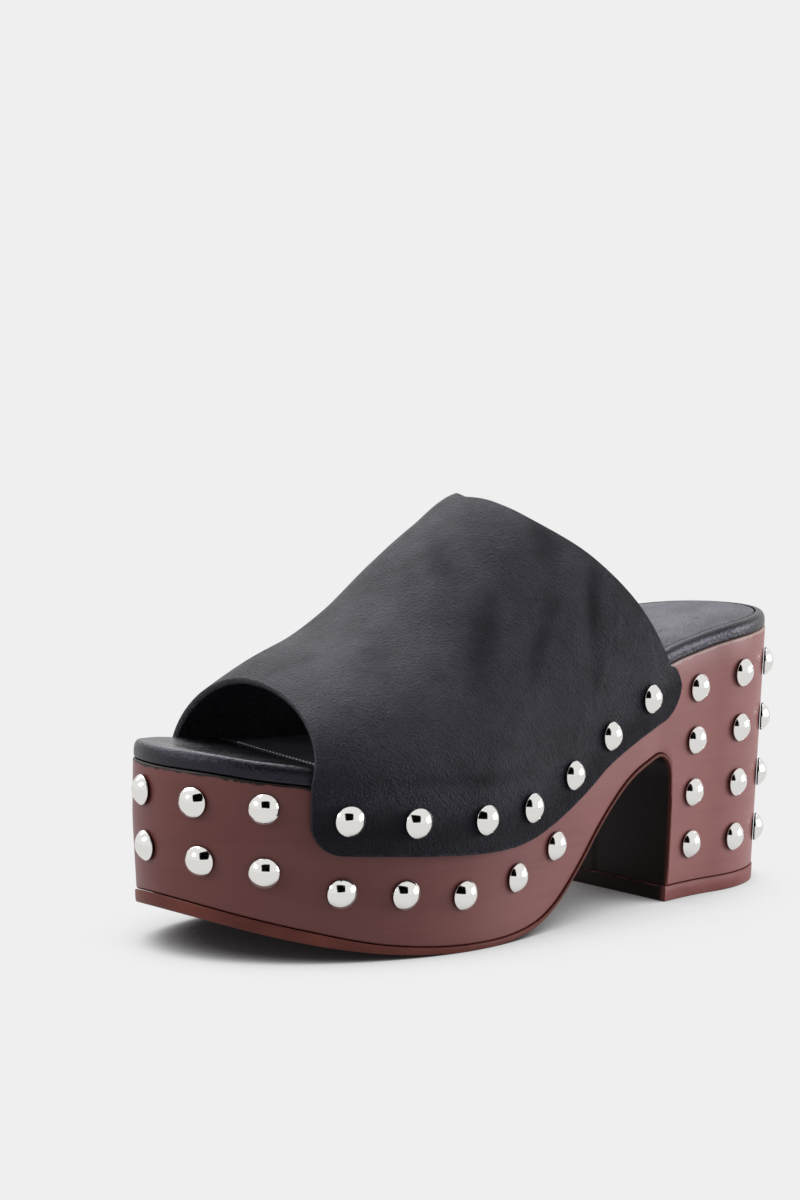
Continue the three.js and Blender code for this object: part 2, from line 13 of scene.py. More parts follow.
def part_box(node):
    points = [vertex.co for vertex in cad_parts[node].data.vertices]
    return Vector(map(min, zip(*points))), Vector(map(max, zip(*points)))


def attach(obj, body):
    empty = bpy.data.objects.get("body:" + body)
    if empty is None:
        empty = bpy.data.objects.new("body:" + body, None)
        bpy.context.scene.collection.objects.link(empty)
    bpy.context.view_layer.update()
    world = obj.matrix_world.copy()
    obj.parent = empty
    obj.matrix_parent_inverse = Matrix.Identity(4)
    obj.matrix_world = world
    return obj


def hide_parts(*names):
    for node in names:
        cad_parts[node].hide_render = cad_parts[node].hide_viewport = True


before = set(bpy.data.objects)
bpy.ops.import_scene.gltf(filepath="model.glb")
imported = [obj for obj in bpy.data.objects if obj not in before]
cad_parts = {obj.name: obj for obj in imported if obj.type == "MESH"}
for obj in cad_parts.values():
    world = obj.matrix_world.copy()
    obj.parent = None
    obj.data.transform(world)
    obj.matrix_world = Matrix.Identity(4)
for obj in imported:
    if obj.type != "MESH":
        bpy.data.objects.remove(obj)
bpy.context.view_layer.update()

sole = {
    "length": 241.4,
    "ballOuter": 51.3,
    "ballInner": 41.9,
    "toeTip": -0.9,
    "toeLengthOuter": 77.8,
    "toeLengthInner": 66,
    "toeRoundOuter": 1.94,
    "toeRoundInner": 2.2,
    "heelWidth": 58.4,
    "heelCentre": 0.4,
    "heelLength": 37.2,
    "heelRound": 1.95,
    "forefootHeight": 47.5,
    "heelHeight": 84,
    "toeLip": 8.7,
    "toeSpring": 14.8,
    "springPower": 2.1,
    "flatFrom": 0.34,
    # the spring is drawn from a little ahead of the tip, under the outsole's flange
    "aheadOfTip": 0.12,
    "springSteps": 60,
    "archHeight": 47.6,
    "archSteps": 300,
    "toeTaper": 2.5,
    "toeTaperHeight": 38,
    "heelTaperSide": 3.6,
    "heelTaperBack": 1.5,
    # the heel's leaning wall takes over from the forefoot's between these shares of the sole
    "heelWallFrom": 0.66,
    "heelWallTo": 0.72,
    "clearance": 0.3,
    "outerWaist": [(0.5, 0.68), (0.64, 0.38)],
    "innerWaist": [(0.4, 0.78), (0.52, 0.4), (0.66, 0.1)],
    # along the sole, share of the toe lip, climb from forefoot 0 to heel 1
    "top": [(0, 1, 0), (0.065, 0.736, 0), (0.1, 0.609, 0), (0.15, 0.402, 0), (0.2, 0.23, 0), (0.3, 0, 0),
            (0.38, 0, 0), (0.45, 0, 0.068), (0.52, 0, 0.219), (0.6, 0, 0.452), (0.68, 0, 0.666),
            (0.725, 0, 0.789), (0.785, 0, 0.863), (0.88, 0, 0.956), (1, 0, 1)],
    # along the sole, rise of the underside as a share of the arch
    "arch": [(0.365, 0), (0.4, 0.008), (0.437, 0.034), (0.468, 0.084), (0.495, 0.166), (0.518, 0.272),
             (0.545, 0.418), (0.58, 0.63), (0.618, 0.813), (0.655, 0.93), (0.69, 0.983), (0.715, 1),
             (0.7315, 0.957), (0.7395, 0.875), (0.7425, 0.72), (0.744, 0.5)],
}

heelFront = sole["length"] - sole["heelLength"]
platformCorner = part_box("platform")[0]
shift = np.array([platformCorner.x * 1000 + sole["ballInner"], platformCorner.y * 1000, 0])


def toFrame(points):
    # millimetres of the sole to metres of the frame
    return (np.asarray(points, float) + shift) / 1000


def through(rows, column, at):
    # smooth curve through a table's column: cubic pieces, level at both ends, never overshooting
    table = np.array(rows, float)
    knots, values = table[:, 0], table[:, column]
    rise = np.diff(values) / np.diff(knots)
    before, after = rise[:-1], rise[1:]
    turns = before * after <= 0
    slope = np.zeros_like(values)
    slope[1:-1] = np.where(turns, 0, 2 * before * after / np.where(turns, 1, before + after))
    at = np.clip(at, knots[0], knots[-1])
    i = np.clip(np.searchsorted(knots, at, side="right") - 1, 0, len(knots) - 2)
    span = knots[i + 1] - knots[i]
    t = (at - knots[i]) / span
    start = values[i] * (1 + 2 * t) * (1 - t) ** 2 + slope[i] * span * t * (1 - t) ** 2
    return start + values[i + 1] * t * t * (3 - 2 * t) - slope[i + 1] * span * t * t * (1 - t)


def smoothStep(low, high, at):
    # 0 up to low, 1 from high on, and three squares less two cubes of the share between
    t = np.clip((np.asarray(at, float) - low) / (high - low), 0, 1)
    return t * t * (3 - 2 * t)


def makeSide(sign, ball, toeLength, toeRound, waist):
    # rows of the waist: along the sole, and width from the heel's 0 to the ball's 1
    heelX = sole["heelCentre"] + sign * sole["heelWidth"] / 2
    rows = [(toeLength / sole["length"], 1), *waist, (1 - sole["heelLength"] / sole["length"], 0)]
    return {"sign": sign, "ballX": sign * ball, "heelX": heelX, "toeLength": toeLength, "toeRound": toeRound,
            "rows": rows}


outerSide, innerSide = (
    makeSide(sign, sole["ball" + name], sole["toeLength" + name], sole["toeRound" + name], waist)
    for sign, name, waist in ((1, "Outer", sole["outerWaist"]), (-1, "Inner", sole["innerWaist"])))


def edgeX(side, y):
    # edge of one side: superellipse to the ball, smooth waist, superellipse round the heel
    y = np.asarray(y, float)
    toeBack = np.clip(1 - y / side["toeLength"], 0, 1)
    heelBack = np.clip((y - heelFront) / sole["heelLength"], 0, 1)

    def roundEnd(middle, wide, back, power):
        return middle + (wide - middle) * (1 - back ** power) ** (1 / power)
    toe = roundEnd(sole["toeTip"], side["ballX"], toeBack, side["toeRound"])
    heel = roundEnd(sole["heelCentre"], side["heelX"], heelBack, sole["heelRound"])
    waist = side["heelX"] + (side["ballX"] - side["heelX"]) * through(side["rows"], 1, y / sole["length"])
    return np.where(y < side["toeLength"], toe, np.where(y > heelFront, heel, waist))


def woodTop(y):
    # height of the wood: the forefoot's, plus the lip at the toe, plus the climb to the heel
    along = np.asarray(y, float) / sole["length"]
    climb = (sole["heelHeight"] - sole["forefootHeight"]) * through(sole["top"], 2, along)
    return sole["forefootHeight"] + sole["toeLip"] * through(sole["top"], 1, along) + climb


def splineThrough(points, steps):
    # Catmull-Rom curve through a list of points
    points = np.array(points, float)
    padded = np.vstack([points[:1], points, points[-1:]])
    t = np.linspace(0, len(points) - 1, steps)
    i = np.minimum(t.astype(int), len(points) - 2)
    w = (t - i)[:, None]
    a, b, c, d = padded[i], padded[i + 1], padded[i + 2], padded[i + 3]
    into, away = (c - a) / 2, (d - b) / 2
    cubic, square = 2 * b - 2 * c + into + away, 3 * c - 3 * b - 2 * into - away
    return cubic * w ** 3 + square * w ** 2 + into * w + b


def forward(y):
    # places along the sole that never run back, so that a height can be looked up by them
    return np.maximum.accumulate(y) + np.arange(len(y)) * 1e-7


outsole = {
    "toeThickness": 3.6,
    "sheet": 1,
    "flange": 0.5,
    "edge": 0.4,
    "across": 44,
    # drawn in from the flange as shares of the edge, and up as shares of the thickness
    "section": [(1, 0), (0.3, 0.06), (0, 0.18), (0, 0.5), (0, 0.82), (0.2, 0.94), (0.6, 1)],
    # painted shade under the arch, from here to here along the sole
    "darkFrom": 118,
    "darkTo": 140,
    # along the sole, thickness from the thin sheet 0 to the toe 1
    "rows": [(0, 1), (0.1, 0.96), (0.2, 0.58), (0.3, 0.38), (0.42, 0.24), (0.52, 0)],
}
heelLift = {"thickness": 4.8, "proud": 0.3, "edge": 0.4, "topInset": 0.3, "across": 20}


def undersideLine():
    # side view of the underside: sprung toe, flat under the ball, over the arch and down the heel's breast
    springEnd = sole["flatFrom"] * sole["length"]
    y = np.linspace(-sole["aheadOfTip"] * springEnd, springEnd, sole["springSteps"])
    spring = np.stack([y, sole["toeSpring"] * np.abs(1 - y / springEnd) ** sole["springPower"]], 1)
    rows = [(along * sole["length"], rise * sole["archHeight"]) for along, rise in sole["arch"]]
    foot = (rows[-1][0], heelLift["thickness"] + sole["clearance"])
    line = np.vstack([spring, splineThrough(rows, sole["archSteps"]), [foot]])
    line[:, 0] = forward(line[:, 0])
    return line


def outsoleDepth(y):
    # thickness of the sheet, from the toe's to the thin part's by the table
    share = through(outsole["rows"], 1, y / sole["length"])
    return outsole["sheet"] + (outsole["toeThickness"] - outsole["sheet"]) * share


def liftedLine(line, extra):
    # the same line moved into the sole, square to itself, by the outsole's thickness
    way = np.gradient(line, axis=0)
    way /= np.linalg.norm(way, axis=1, keepdims=True)
    depth = outsoleDepth(line[:, 0]) + extra
    moved = np.stack([line[:, 0] - way[:, 1] * depth, line[:, 1] + way[:, 0] * depth], 1)
    moved[-1] = [line[-1, 0] + depth[-1], line[-1, 1]]
    moved[:, 0] = forward(moved[:, 0])
    return moved


underLine = undersideLine()
insideLine = liftedLine(underLine, 0)
woodLine = liftedLine(underLine, sole["clearance"])
footHeight = heelLift["thickness"] + sole["clearance"]
breast = underLine[-1, 0]


def heightOn(line):
    # height of a side-view line at a place along the sole; behind its end, the foot of the heel
    def height(y):
        return np.where(y > line[-1, 0], footHeight, np.interp(y, line[:, 0], line[:, 1]))
    return height


spacing = {
    "toe": 41,
    "heel": 31,
    # runs along the waist, from, to and step; the breast of the heel has the closest
    "waist": [(80, 168, 2.2), (168, 176.8, 0.55), (176.9, breast - 0.03, 0.08),
              (breast + 0.1, breast + 2, 0.25), (182, heelFront, 1.9)],
    # place of one more point, as a share of the way from the toe's end to the first run
    "toeToWaist": 0.4,
}


def stations(side):
    # points of one side from the toe tip to the heel's back, close together at the heel's breast
    toe = np.linspace(0, np.pi / 2, spacing["toe"])
    toeX = sole["toeTip"] + (side["ballX"] - sole["toeTip"]) * np.sin(toe) ** (2 / side["toeRound"])
    toeY = side["toeLength"] * (1 - np.clip(np.cos(toe), 0, 1) ** (2 / side["toeRound"]))
    runs = [np.arange(start, stop, step) for start, stop, step in spacing["waist"]]
    share = spacing["toeToWaist"]
    join = side["toeLength"] * (1 - share) + runs[0][0] * share
    waistY = np.unique(np.concatenate([[join, breast, insideLine[-1, 0], woodLine[-1, 0]], *runs]))
    heel = np.linspace(0, np.pi / 2, spacing["heel"])
    heelBow = np.clip(np.cos(heel), 0, 1) ** (2 / sole["heelRound"])
    heelX = sole["heelCentre"] + (side["heelX"] - sole["heelCentre"]) * heelBow
    heelY = heelFront + sole["heelLength"] * np.sin(heel) ** (2 / sole["heelRound"])
    x = np.concatenate([toeX, edgeX(side, waistY), heelX])
    return np.stack([x, np.concatenate([toeY, waistY, heelY])], 1)


def makeOutline():
    # both sides at their stations, and the direction out of the sole at each, square to its neighbours
    outer, inner = stations(outerSide), stations(innerSide)
    loop = np.vstack([outer, inner[1:-1][::-1]])
    way = np.roll(loop, -1, 0) - np.roll(loop, 1, 0)
    way /= np.linalg.norm(way, axis=1, keepdims=True)
    out = np.stack([way[:, 1], -way[:, 0]], 1)
    count = len(outer)
    back = [0, *range(len(loop) - 1, count - 2, -1)]
    return np.stack([outer, loop[back]]), np.stack([out[:count], out[back]])


outline, outward = makeOutline()  # both sides, by stations, x and y
breastStation = int(np.argmin(np.abs(outline[0, :, 1] - breast)))
outsoleEnd = int(np.argmin(np.abs(outline[0, :, 1] - insideLine[-1, 0])))
lastStation = outline.shape[1] - 1


def lean(y, z):
    # how far the walls have leaned in at a height, across the sole and along it
    heel = smoothStep(sole["heelWallFrom"], sole["heelWallTo"], y / sole["length"])
    heelFall = heel * np.clip(1 - z / sole["heelHeight"], 0, 1)
    toeFall = (1 - heel) * np.clip(1 - z / sole["toeTaperHeight"], 0, 1)
    across = sole["heelTaperSide"] * heelFall + sole["toeTaper"] * toeFall
    along = sole["heelTaperBack"] * heelFall + sole["toeTaper"] * toeFall
    return across, along


def wallRing(first, last, proud, height):
    # both sides of the outline at a height that depends on the place along the sole
    base, out = outline[:, first:last + 1], outward[:, first:last + 1]
    z = height(base[..., 1])
    for _ in range(5):  # height and place depend on each other and settle
        across, along = lean(base[..., 1], np.minimum(z, woodTop(base[..., 1])))
        x = base[..., 0] + out[..., 0] * (proud - across)
        y = base[..., 1] + out[..., 1] * (proud - along)
        z = height(y)
    return np.stack([x, y, z], -1)


def bridge(a, b, steps):
    # straight grid from one row of points to another
    share = np.linspace(0, 1, steps + 1)[:, None]
    return a[..., None, :] * (1 - share) + b[..., None, :] * share


def slab(first, last, rings, steps, low, high):
    # closed body of stacked rings, with a floor and a top that run from side to side, and two end faces
    levels = np.stack([wallRing(first, last, proud, height) for proud, height in rings])
    bottom, top = bridge(*levels[0], steps), bridge(*levels[-1], steps)
    bottom[:, 1:-1, 2] = low(bottom[:, 1:-1, 1])
    top[:, 1:-1, 2] = high(top[:, 1:-1, 1])
    ends = [bridge(levels[:, 0, station], levels[:, 1, station], steps) for station in (0, -1)]
    return [levels[:, 0], levels[:, 1], bottom, top, *ends]


weldDistance = 3e-6  # metres within which the grids' edges are joined


def gridMesh(name, grids, material, attributes=(), sharp=50):
    # one mesh from grids of points in millimetres, joined where they meet, normals pointing out, and hard
    # edges past the sharp angle in degrees
    points, faces, count = [], [], 0
    for grid in grids:
        rows, columns = grid.shape[:2]
        index = np.arange(rows * columns).reshape(rows, columns) + count
        quads = np.stack([index[:-1, :-1], index[:-1, 1:], index[1:, 1:], index[1:, :-1]], -1)
        points.append(grid.reshape(-1, 3))
        faces.append(quads.reshape(-1, 4))
        count += rows * columns
    mesh = bpy.data.meshes.new(name)
    mesh.from_pydata(toFrame(np.concatenate(points)).tolist(), [], np.concatenate(faces).tolist())
    for title, values in attributes:
        layer = mesh.attributes.new(title, "FLOAT", "POINT")
        layer.data.foreach_set("value", np.concatenate([v.ravel() for v in values]).astype(np.float32))
    shape = bmesh.new()
    shape.from_mesh(mesh)
    bmesh.ops.remove_doubles(shape, verts=shape.verts, dist=weldDistance)
    bmesh.ops.recalc_face_normals(shape, faces=shape.faces)
    shape.to_mesh(mesh)
    shape.free()
    mesh.polygons.foreach_set("use_smooth", np.ones(len(mesh.polygons), bool))
    mesh.set_sharp_from_angle(angle=math.radians(sharp))
    mesh.materials.append(material)
    return mesh


def addPiece(name, mesh, slotName, *nodes):
    # a piece of the sandal, with the CAD nodes that it stands for
    piece = bpy.data.objects.new(name, mesh)
    bpy.context.scene.collection.objects.link(piece)
    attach(piece, "root")
    if nodes:
        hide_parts(*nodes)
    return piece


def linear(code):
    # sRGB hex colour to linear light
    parts = [int(code[i:i + 2], 16) / 255 for i in (1, 3, 5)]
    return tuple(c / 12.92 if c <= 0.04045 else ((c + 0.055) / 1.055) ** 2.4 for c in parts) + (1,)


def fill(tree, node, values=None, links=None):
    # a node's socket values, with colours as hex codes, and its links
    for name, value in (values or {}).items():
        node.inputs[name].default_value = linear(value) if isinstance(value, str) else value
    for name, source in (links or {}).items():
        tree.links.new(source, node.inputs[name])
    return node


def addNode(tree, kind, settings=None, values=None, links=None, stops=()):
    # one node with its settings, values and links, and a ramp's stops in rising order
    made = tree.nodes.new("ShaderNode" + kind)
    for name, value in (settings or {}).items():
        setattr(made, name, value)
    for number, (position, code) in enumerate(stops):
        elements = made.color_ramp.elements
        element = elements[number] if number < len(elements) else elements.new(position)
        element.position = position
        element.color = linear(code)
    return fill(tree, made, values, links)


def startMaterial(name):
    material = bpy.data.materials.new(name)
    material.use_nodes = True
    tree = material.node_tree
    place = addNode(tree, "TexCoord").outputs["Object"]
    return material, tree, tree.nodes["Principled BSDF"], place


def perMetre(size):
    # pattern steps in a metre, from the millimetres of one step across, along and up
    return [1000 / step for step in size]


def noiseFields(tree, place, table):
    # cloudy patterns by name, each with the size of one step, its detail and its roughness
    fields = {}
    for name, (size, detail, roughness) in table.items():
        scaled = addNode(tree, "Mapping", values={"Scale": perMetre(size)}, links={"Vector": place})
        values = {"Scale": 1, "Detail": detail, "Roughness": roughness}
        cloudy = addNode(tree, "TexNoise", values=values, links={"Vector": scaled.outputs["Vector"]})
        fields[name] = cloudy.outputs["Fac"]
    return fields


inColour = {"data_type": "RGBA"}  # Mix node: 0 is the factor, 6 and 7 the two colours, output 2 the result
multiplyAdd = {"operation": "MULTIPLY_ADD"}  # Math node: first times second plus third, counted from 0
noiseSpan = {"From Min": 0.3, "From Max": 0.7}  # where most of a noise lies

stain = {
    # patterns: one step in millimetres across, along and up, detail, roughness
    "fields": {
        "streaks": ((60, 60, 1.6), 5, 0.6),
        "clouds": ((34, 34, 18), 3, 0.5),
        "ragged": ((3.2, 3.2, 2.2), 3, 0.6),
    },
    "streakShare": 0.5,
    # values of the mixed pattern at the dark and the pale tone
    "darkAt": 0.45,
    "paleAt": 0.85,
    # tones at the heel and at the toe: the heel's paler ones are painted light on the heel's side
    "heelDark": "#965f5e",
    "heelPale": "#a46b69",
    "toeDark": "#683936",
    "toePale": "#764542",
    # line below the top edge: reach of its ragged threshold, where it is full and where it ends
    "lineReach": 2.4,
    "lineFull": -0.55,
    "lineEnd": -0.15,
    "heelLine": "#b89a94",
    "toeLine": "#170d0c",
    "dull": 0.42,
    "glossy": 0.34,
    "relief": 0.02,
    "ior": 1.5,
    "specular": 0.35,
}


def stainedWood():
    # close-grained wood stained red-brown and lacquered: smooth to the eye, a few faint level streaks, soft
    # cloudy sheen; along its upper edge a thin ragged line where the stain was sanded through at the heel
    material, tree, shader, place = startMaterial("stained lacquered wood")
    field = noiseFields(tree, place, stain["fields"])
    mixed = addNode(tree, "Math", multiplyAdd, {1: stain["streakShare"]},
                    {0: field["streaks"], 2: field["clouds"]}).outputs[0]
    tone = addNode(tree, "MapRange", values={"From Min": stain["darkAt"], "From Max": stain["paleAt"]},
                   links={"Value": mixed}).outputs[0]
    heel = addNode(tree, "Mix", inColour, {6: stain["heelDark"], 7: stain["heelPale"]}, {0: tone}).outputs[2]
    toe = addNode(tree, "Mix", inColour, {6: stain["toeDark"], 7: stain["toePale"]}, {0: tone}).outputs[2]
    toward = addNode(tree, "Attribute", {"attribute_name": "toward_heel"}).outputs["Fac"]
    # painted light: toward the heel the tone shifts to the heel's paler, lit tones
    body = addNode(tree, "Mix", inColour, links={0: toward, 6: toe, 7: heel}).outputs[2]
    # the distance below the top edge against a ragged threshold, so that the line is one millimetre wide
    below = addNode(tree, "Attribute", {"attribute_name": "below_top"}).outputs["Fac"]
    worn = addNode(tree, "Math", multiplyAdd, {1: -stain["lineReach"]},
                   {0: field["ragged"], 2: below}).outputs[0]
    ends = {"From Min": stain["lineFull"], "From Max": stain["lineEnd"], "To Min": 1, "To Max": 0}
    line = addNode(tree, "MapRange", values=ends, links={"Value": worn}).outputs[0]
    edge = addNode(tree, "Mix", inColour, {6: stain["toeLine"], 7: stain["heelLine"]}, {0: toward}).outputs[2]
    colour = addNode(tree, "Mix", inColour, links={0: line, 6: body, 7: edge}).outputs[2]
    sheen = addNode(tree, "MapRange", values=noiseSpan | {"To Min": stain["dull"], "To Max": stain["glossy"]},
                    links={"Value": field["clouds"]}).outputs[0]
    relief = addNode(tree, "Bump", values={"Distance": stain["relief"] / 1000},
                     links={"Height": field["streaks"]}).outputs[0]
    fill(tree, shader, {"IOR": stain["ior"], "Specular IOR Level": stain["specular"]},
         {"Base Color": colour, "Roughness": sheen, "Normal": relief})
    return material


rubber = {
    "fields": {"tooth": ((1.4, 1.4, 0.9), 3, 0.5), "clouds": ((24, 24, 9), 3, 0.5)},
    "darkAt": 0.36,
    "paleAt": 0.64,
    "relief": 0.06,
    "roughness": 0.45,
    "specular": 0.15,
}


def dyedRubber(name, pale, dark, archShade):
    # dyed sheet, sanded at its edge: satin red-brown, fine tooth; painted shade, near black, under the arch
    material, tree, shader, place = startMaterial(name)
    field = noiseFields(tree, place, rubber["fields"])
    tone = addNode(tree, "MapRange", values={"From Min": rubber["darkAt"], "From Max": rubber["paleAt"]},
                   links={"Value": field["clouds"]}).outputs[0]
    body = addNode(tree, "Mix", inColour, {6: dark, 7: pale}, {0: tone}).outputs[2]
    # painted shade: near black where the 'under' attribute marks the arch's shade
    under = addNode(tree, "Attribute", {"attribute_name": "under"}).outputs["Fac"]
    colour = addNode(tree, "Mix", inColour, {7: archShade}, {0: under, 6: body}).outputs[2]
    relief = addNode(tree, "Bump", values={"Distance": rubber["relief"] / 1000},
                     links={"Height": field["tooth"]}).outputs[0]
    fill(tree, shader, {"Roughness": rubber["roughness"], "Specular IOR Level": rubber["specular"]},
         {"Base Color": colour, "Normal": relief})
    return material


leather = {
    # one step of each pattern as multiples of the grain, and a noise's detail and roughness
    "pebbles": (1, 1.3, 1),
    "creases": ((1.1, 4.5, 1.1), 5, 0.65),
    "pores": ((0.8, 0.8, 0.8), 3, 0.6),
    # turn of the creases in radians
    "slant": (0.75, 0.15, 0.1),
    # cloudy tone: one step in millimetres, detail, roughness
    "clouds": ((13, 16, 13), 5, 0.65),
    "baseAt": 0.4,
    "highAt": 0.62,
    # relief as multiples of the finish's depth
    "creaseDepth": 4.2,
    "poreDepth": 1.2,
    "pebbleDepth": 1.6,
    # roughness added in the clouds' lows, where shaded, and taken off in their highs
    "duller": 0.1,
    "shadedDuller": 0.4,
    "smoother": 0.08,
    # tone of painted shade, mixed in by the 'shaded' attribute
    "shaded": "#050506",
    # paler tone of the cut edge, strongest along its crest: the edge's own colour and a painted highlight
    "cut": "#3d3c42",
    "mirrored": "#dedaf4",
    "bloom": "#a39fd0",
    "bloomRoughness": 0.5,
}


def blackLeather(name, base, high, roughness, grain, depth, shine, sheen):
    # drum-dyed calf, blue-black: pressed pebbles with fine slanting creases between them, a waxy satin
    # finish that is cloudy from handling, and a faint violet bloom toward grazing light
    material, tree, shader, place = startMaterial(name)

    def grained(size, *noise):
        # steps in millimetres, then what else the pattern has
        return [grain * share for share in size], *noise
    size = {"Scale": perMetre(grained(leather["pebbles"])[0])}
    scaled = addNode(tree, "Mapping", values=size, links={"Vector": place})
    pebbles = addNode(tree, "TexVoronoi", {"feature": "DISTANCE_TO_EDGE"}, {"Scale": 1},
                      {"Vector": scaled.outputs["Vector"]}).outputs["Distance"]
    turned = addNode(tree, "Mapping", values={"Rotation": leather["slant"]}, links={"Vector": place})
    field = noiseFields(tree, turned.outputs["Vector"], {"creases": grained(*leather["creases"])})
    field |= noiseFields(tree, place, {"pores": grained(*leather["pores"]), "clouds": leather["clouds"]})
    tone = addNode(tree, "MapRange", values={"From Min": leather["baseAt"], "From Max": leather["highAt"]},
                   links={"Value": field["clouds"]}).outputs[0]
    body = addNode(tree, "Mix", inColour, {6: base, 7: high}, {0: tone}).outputs[2]
    # painted shade: toward the near-black shade tone where the 'shaded' attribute says
    shaded = addNode(tree, "Attribute", {"attribute_name": "shaded"}).outputs["Fac"]
    body = addNode(tree, "Mix", inColour, {7: leather["shaded"]}, {0: shaded, 6: body}).outputs[2]
    # the cut edge painted paler toward its crest: its own colour and a painted highlight
    cut = addNode(tree, "Attribute", {"attribute_name": "cut"}).outputs["Fac"]
    colour = addNode(tree, "Mix", inColour, {7: leather["cut"]}, {0: cut, 6: body}).outputs[2]
    polished = {"To Min": roughness + leather["duller"], "To Max": roughness - leather["smoother"]}
    polish = addNode(tree, "MapRange", values=noiseSpan | polished,
                     links={"Value": field["clouds"]}).outputs[0]
    dull = addNode(tree, "Math", multiplyAdd | {"use_clamp": True}, {1: leather["shadedDuller"]},
                   {0: shaded, 2: polish}).outputs[0]
    relief = {}
    for height, share in ((field["creases"], "creaseDepth"), (field["pores"], "poreDepth"),
                          (pebbles, "pebbleDepth")):
        made = addNode(tree, "Bump", values={"Distance": depth * leather[share] / 1000},
                       links={"Height": height} | relief)
        relief = {"Normal": made.outputs["Normal"]}
    fill(tree, shader,
         {"Specular IOR Level": shine, "Specular Tint": leather["mirrored"], "Sheen Weight": sheen,
          "Sheen Tint": leather["bloom"], "Sheen Roughness": leather["bloomRoughness"]},
         {"Base Color": colour, "Roughness": dull} | relief)
    return material


# tone of the mirror, and of the painted shade round the foot
plating = {"waves": ((3, 3, 3), 2, 0.5), "relief": 0.02, "metal": "#f4f2ef", "footShade": "#2a2624",
           "roughness": 0.09}


def polishedNickel():
    # nickel-plated steel caps, polished: a clear mirror with the faintest waviness; painted shade in the
    # crease round its foot draws the thin dark ring against the leather and the wood
    material, tree, shader, place = startMaterial("polished nickel")
    waves = noiseFields(tree, place, {"waves": plating["waves"]})["waves"]
    relief = addNode(tree, "Bump", values={"Distance": plating["relief"] / 1000}, links={"Height": waves})
    foot = addNode(tree, "Attribute", {"attribute_name": "foot"}).outputs["Fac"]
    # painted shade mixed in round the foot
    colour = addNode(tree, "Mix", inColour, {6: plating["metal"], 7: plating["footShade"]}, {0: foot})
    fill(tree, shader, {"Metallic": 1, "Roughness": plating["roughness"]},
         {"Base Color": colour.outputs[2], "Normal": relief.outputs[0]})
    return material


def waxedLinen():
    # waxed linen thread, grey: catches a dot of light on each stitch
    material, tree, shader, _ = startMaterial("waxed linen thread")
    fill(tree, shader, {"Base Color": "#a3a0a6", "Roughness": 0.5})
    return material


thread = waxedLinen()
wood = stainedWood()
outsoleRubber = dyedRubber("dyed outsole sheet", pale="#7a433b", dark="#663630", archShade="#180807")
liftRubber = dyedRubber("dyed heel lift", pale="#9c605e", dark="#87504e", archShade="#1c0a09")
vampLeather = blackLeather("satin calf leather", base="#07070a", high="#1a1923", roughness=0.4, grain=0.85,
                           depth=0.44, shine=0.34, sheen=0.04)
rimLeather = blackLeather("satin calf leather over foam", base="#08080a", high="#0d0d10", roughness=0.27,
                          grain=1, depth=0.06, shine=0.5, sheen=0)
# the black sock leather has a grey base: painted sheen for the light it catches; painted shade darkens it
# toward the toe
sockLeather = blackLeather("smooth sock leather", base="#2b2b31", high="#3a3a41", roughness=0.45, grain=1,
                           depth=0.1, shine=0.6, sheen=0.01)
nickel = polishedNickel()
print("materials ready")


def partWay(low, high, share):
    # height a share of the way from one to the other
    return lambda y: low(y) * (1 - share) + high(y) * share


def flatAt(z):
    # the same height everywhere
    return lambda y: np.full(np.shape(y), float(z))


def shifted(height, rise):
    return lambda y: height(y) + rise


def edgeRings(height, radius, sign):
    # quarter round at a rim: inset falls to nothing over the radius
    angles = np.linspace(0, np.pi / 2, platform["edgeSteps"])
    return [(-radius * (1 - math.sin(a)), shifted(height, sign * radius * (1 - math.cos(a)))) for a in angles]


platform = {
    "edge": 0.5,
    "edgeSteps": 4,
    "rows": 9,
    "across": 26,
    # painted light: paler toward the heel as if lit from behind, from here to here along the sole
    "lightenFrom": 30,
    "lightenTo": 165,
}


def makePlatform():
    # the wooden body: leaning walls between the underside and the top, its edges slightly rounded
    low, high = heightOn(woodLine), woodTop
    edge = platform["edge"]
    wallLow, wallHigh = shifted(low, edge), shifted(high, -edge)
    walls = [(0, partWay(wallLow, wallHigh, share))
             for share in np.linspace(0, 1, platform["rows"] + 2)[1:-1]]
    rings = edgeRings(low, edge, 1) + walls + edgeRings(high, edge, -1)[::-1]
    grids = slab(0, lastStation, rings, platform["across"], low, high)
    belowTop = [np.maximum(woodTop(grid[..., 1]) - grid[..., 2], 0) for grid in grids]
    # painted light: how far toward the heel's paler, lit tones
    towardHeel = [smoothStep(platform["lightenFrom"], platform["lightenTo"], grid[..., 1]) for grid in grids]
    return gridMesh("platform_wood", grids, wood, [("below_top", belowTop), ("toward_heel", towardHeel)])


def makeOutsole():
    # sheet under the forefoot, up over the arch and down the breast, standing a little proud of the wood
    low, high = heightOn(underLine), heightOn(insideLine)
    rings = [(outsole["flange"] - outsole["edge"] * drawnIn, partWay(low, high, share))
             for drawnIn, share in outsole["section"]]
    grids = slab(0, outsoleEnd, rings, outsole["across"], low, high)
    under = [np.zeros(grid.shape[:2]) for grid in grids]
    # painted shade on the underside through the arch
    under[2][:, 1:-1] = smoothStep(outsole["darkFrom"], outsole["darkTo"], grids[2][:, 1:-1, 1])
    return gridMesh("outsole_sheet", grids, outsoleRubber, [("under", under)])


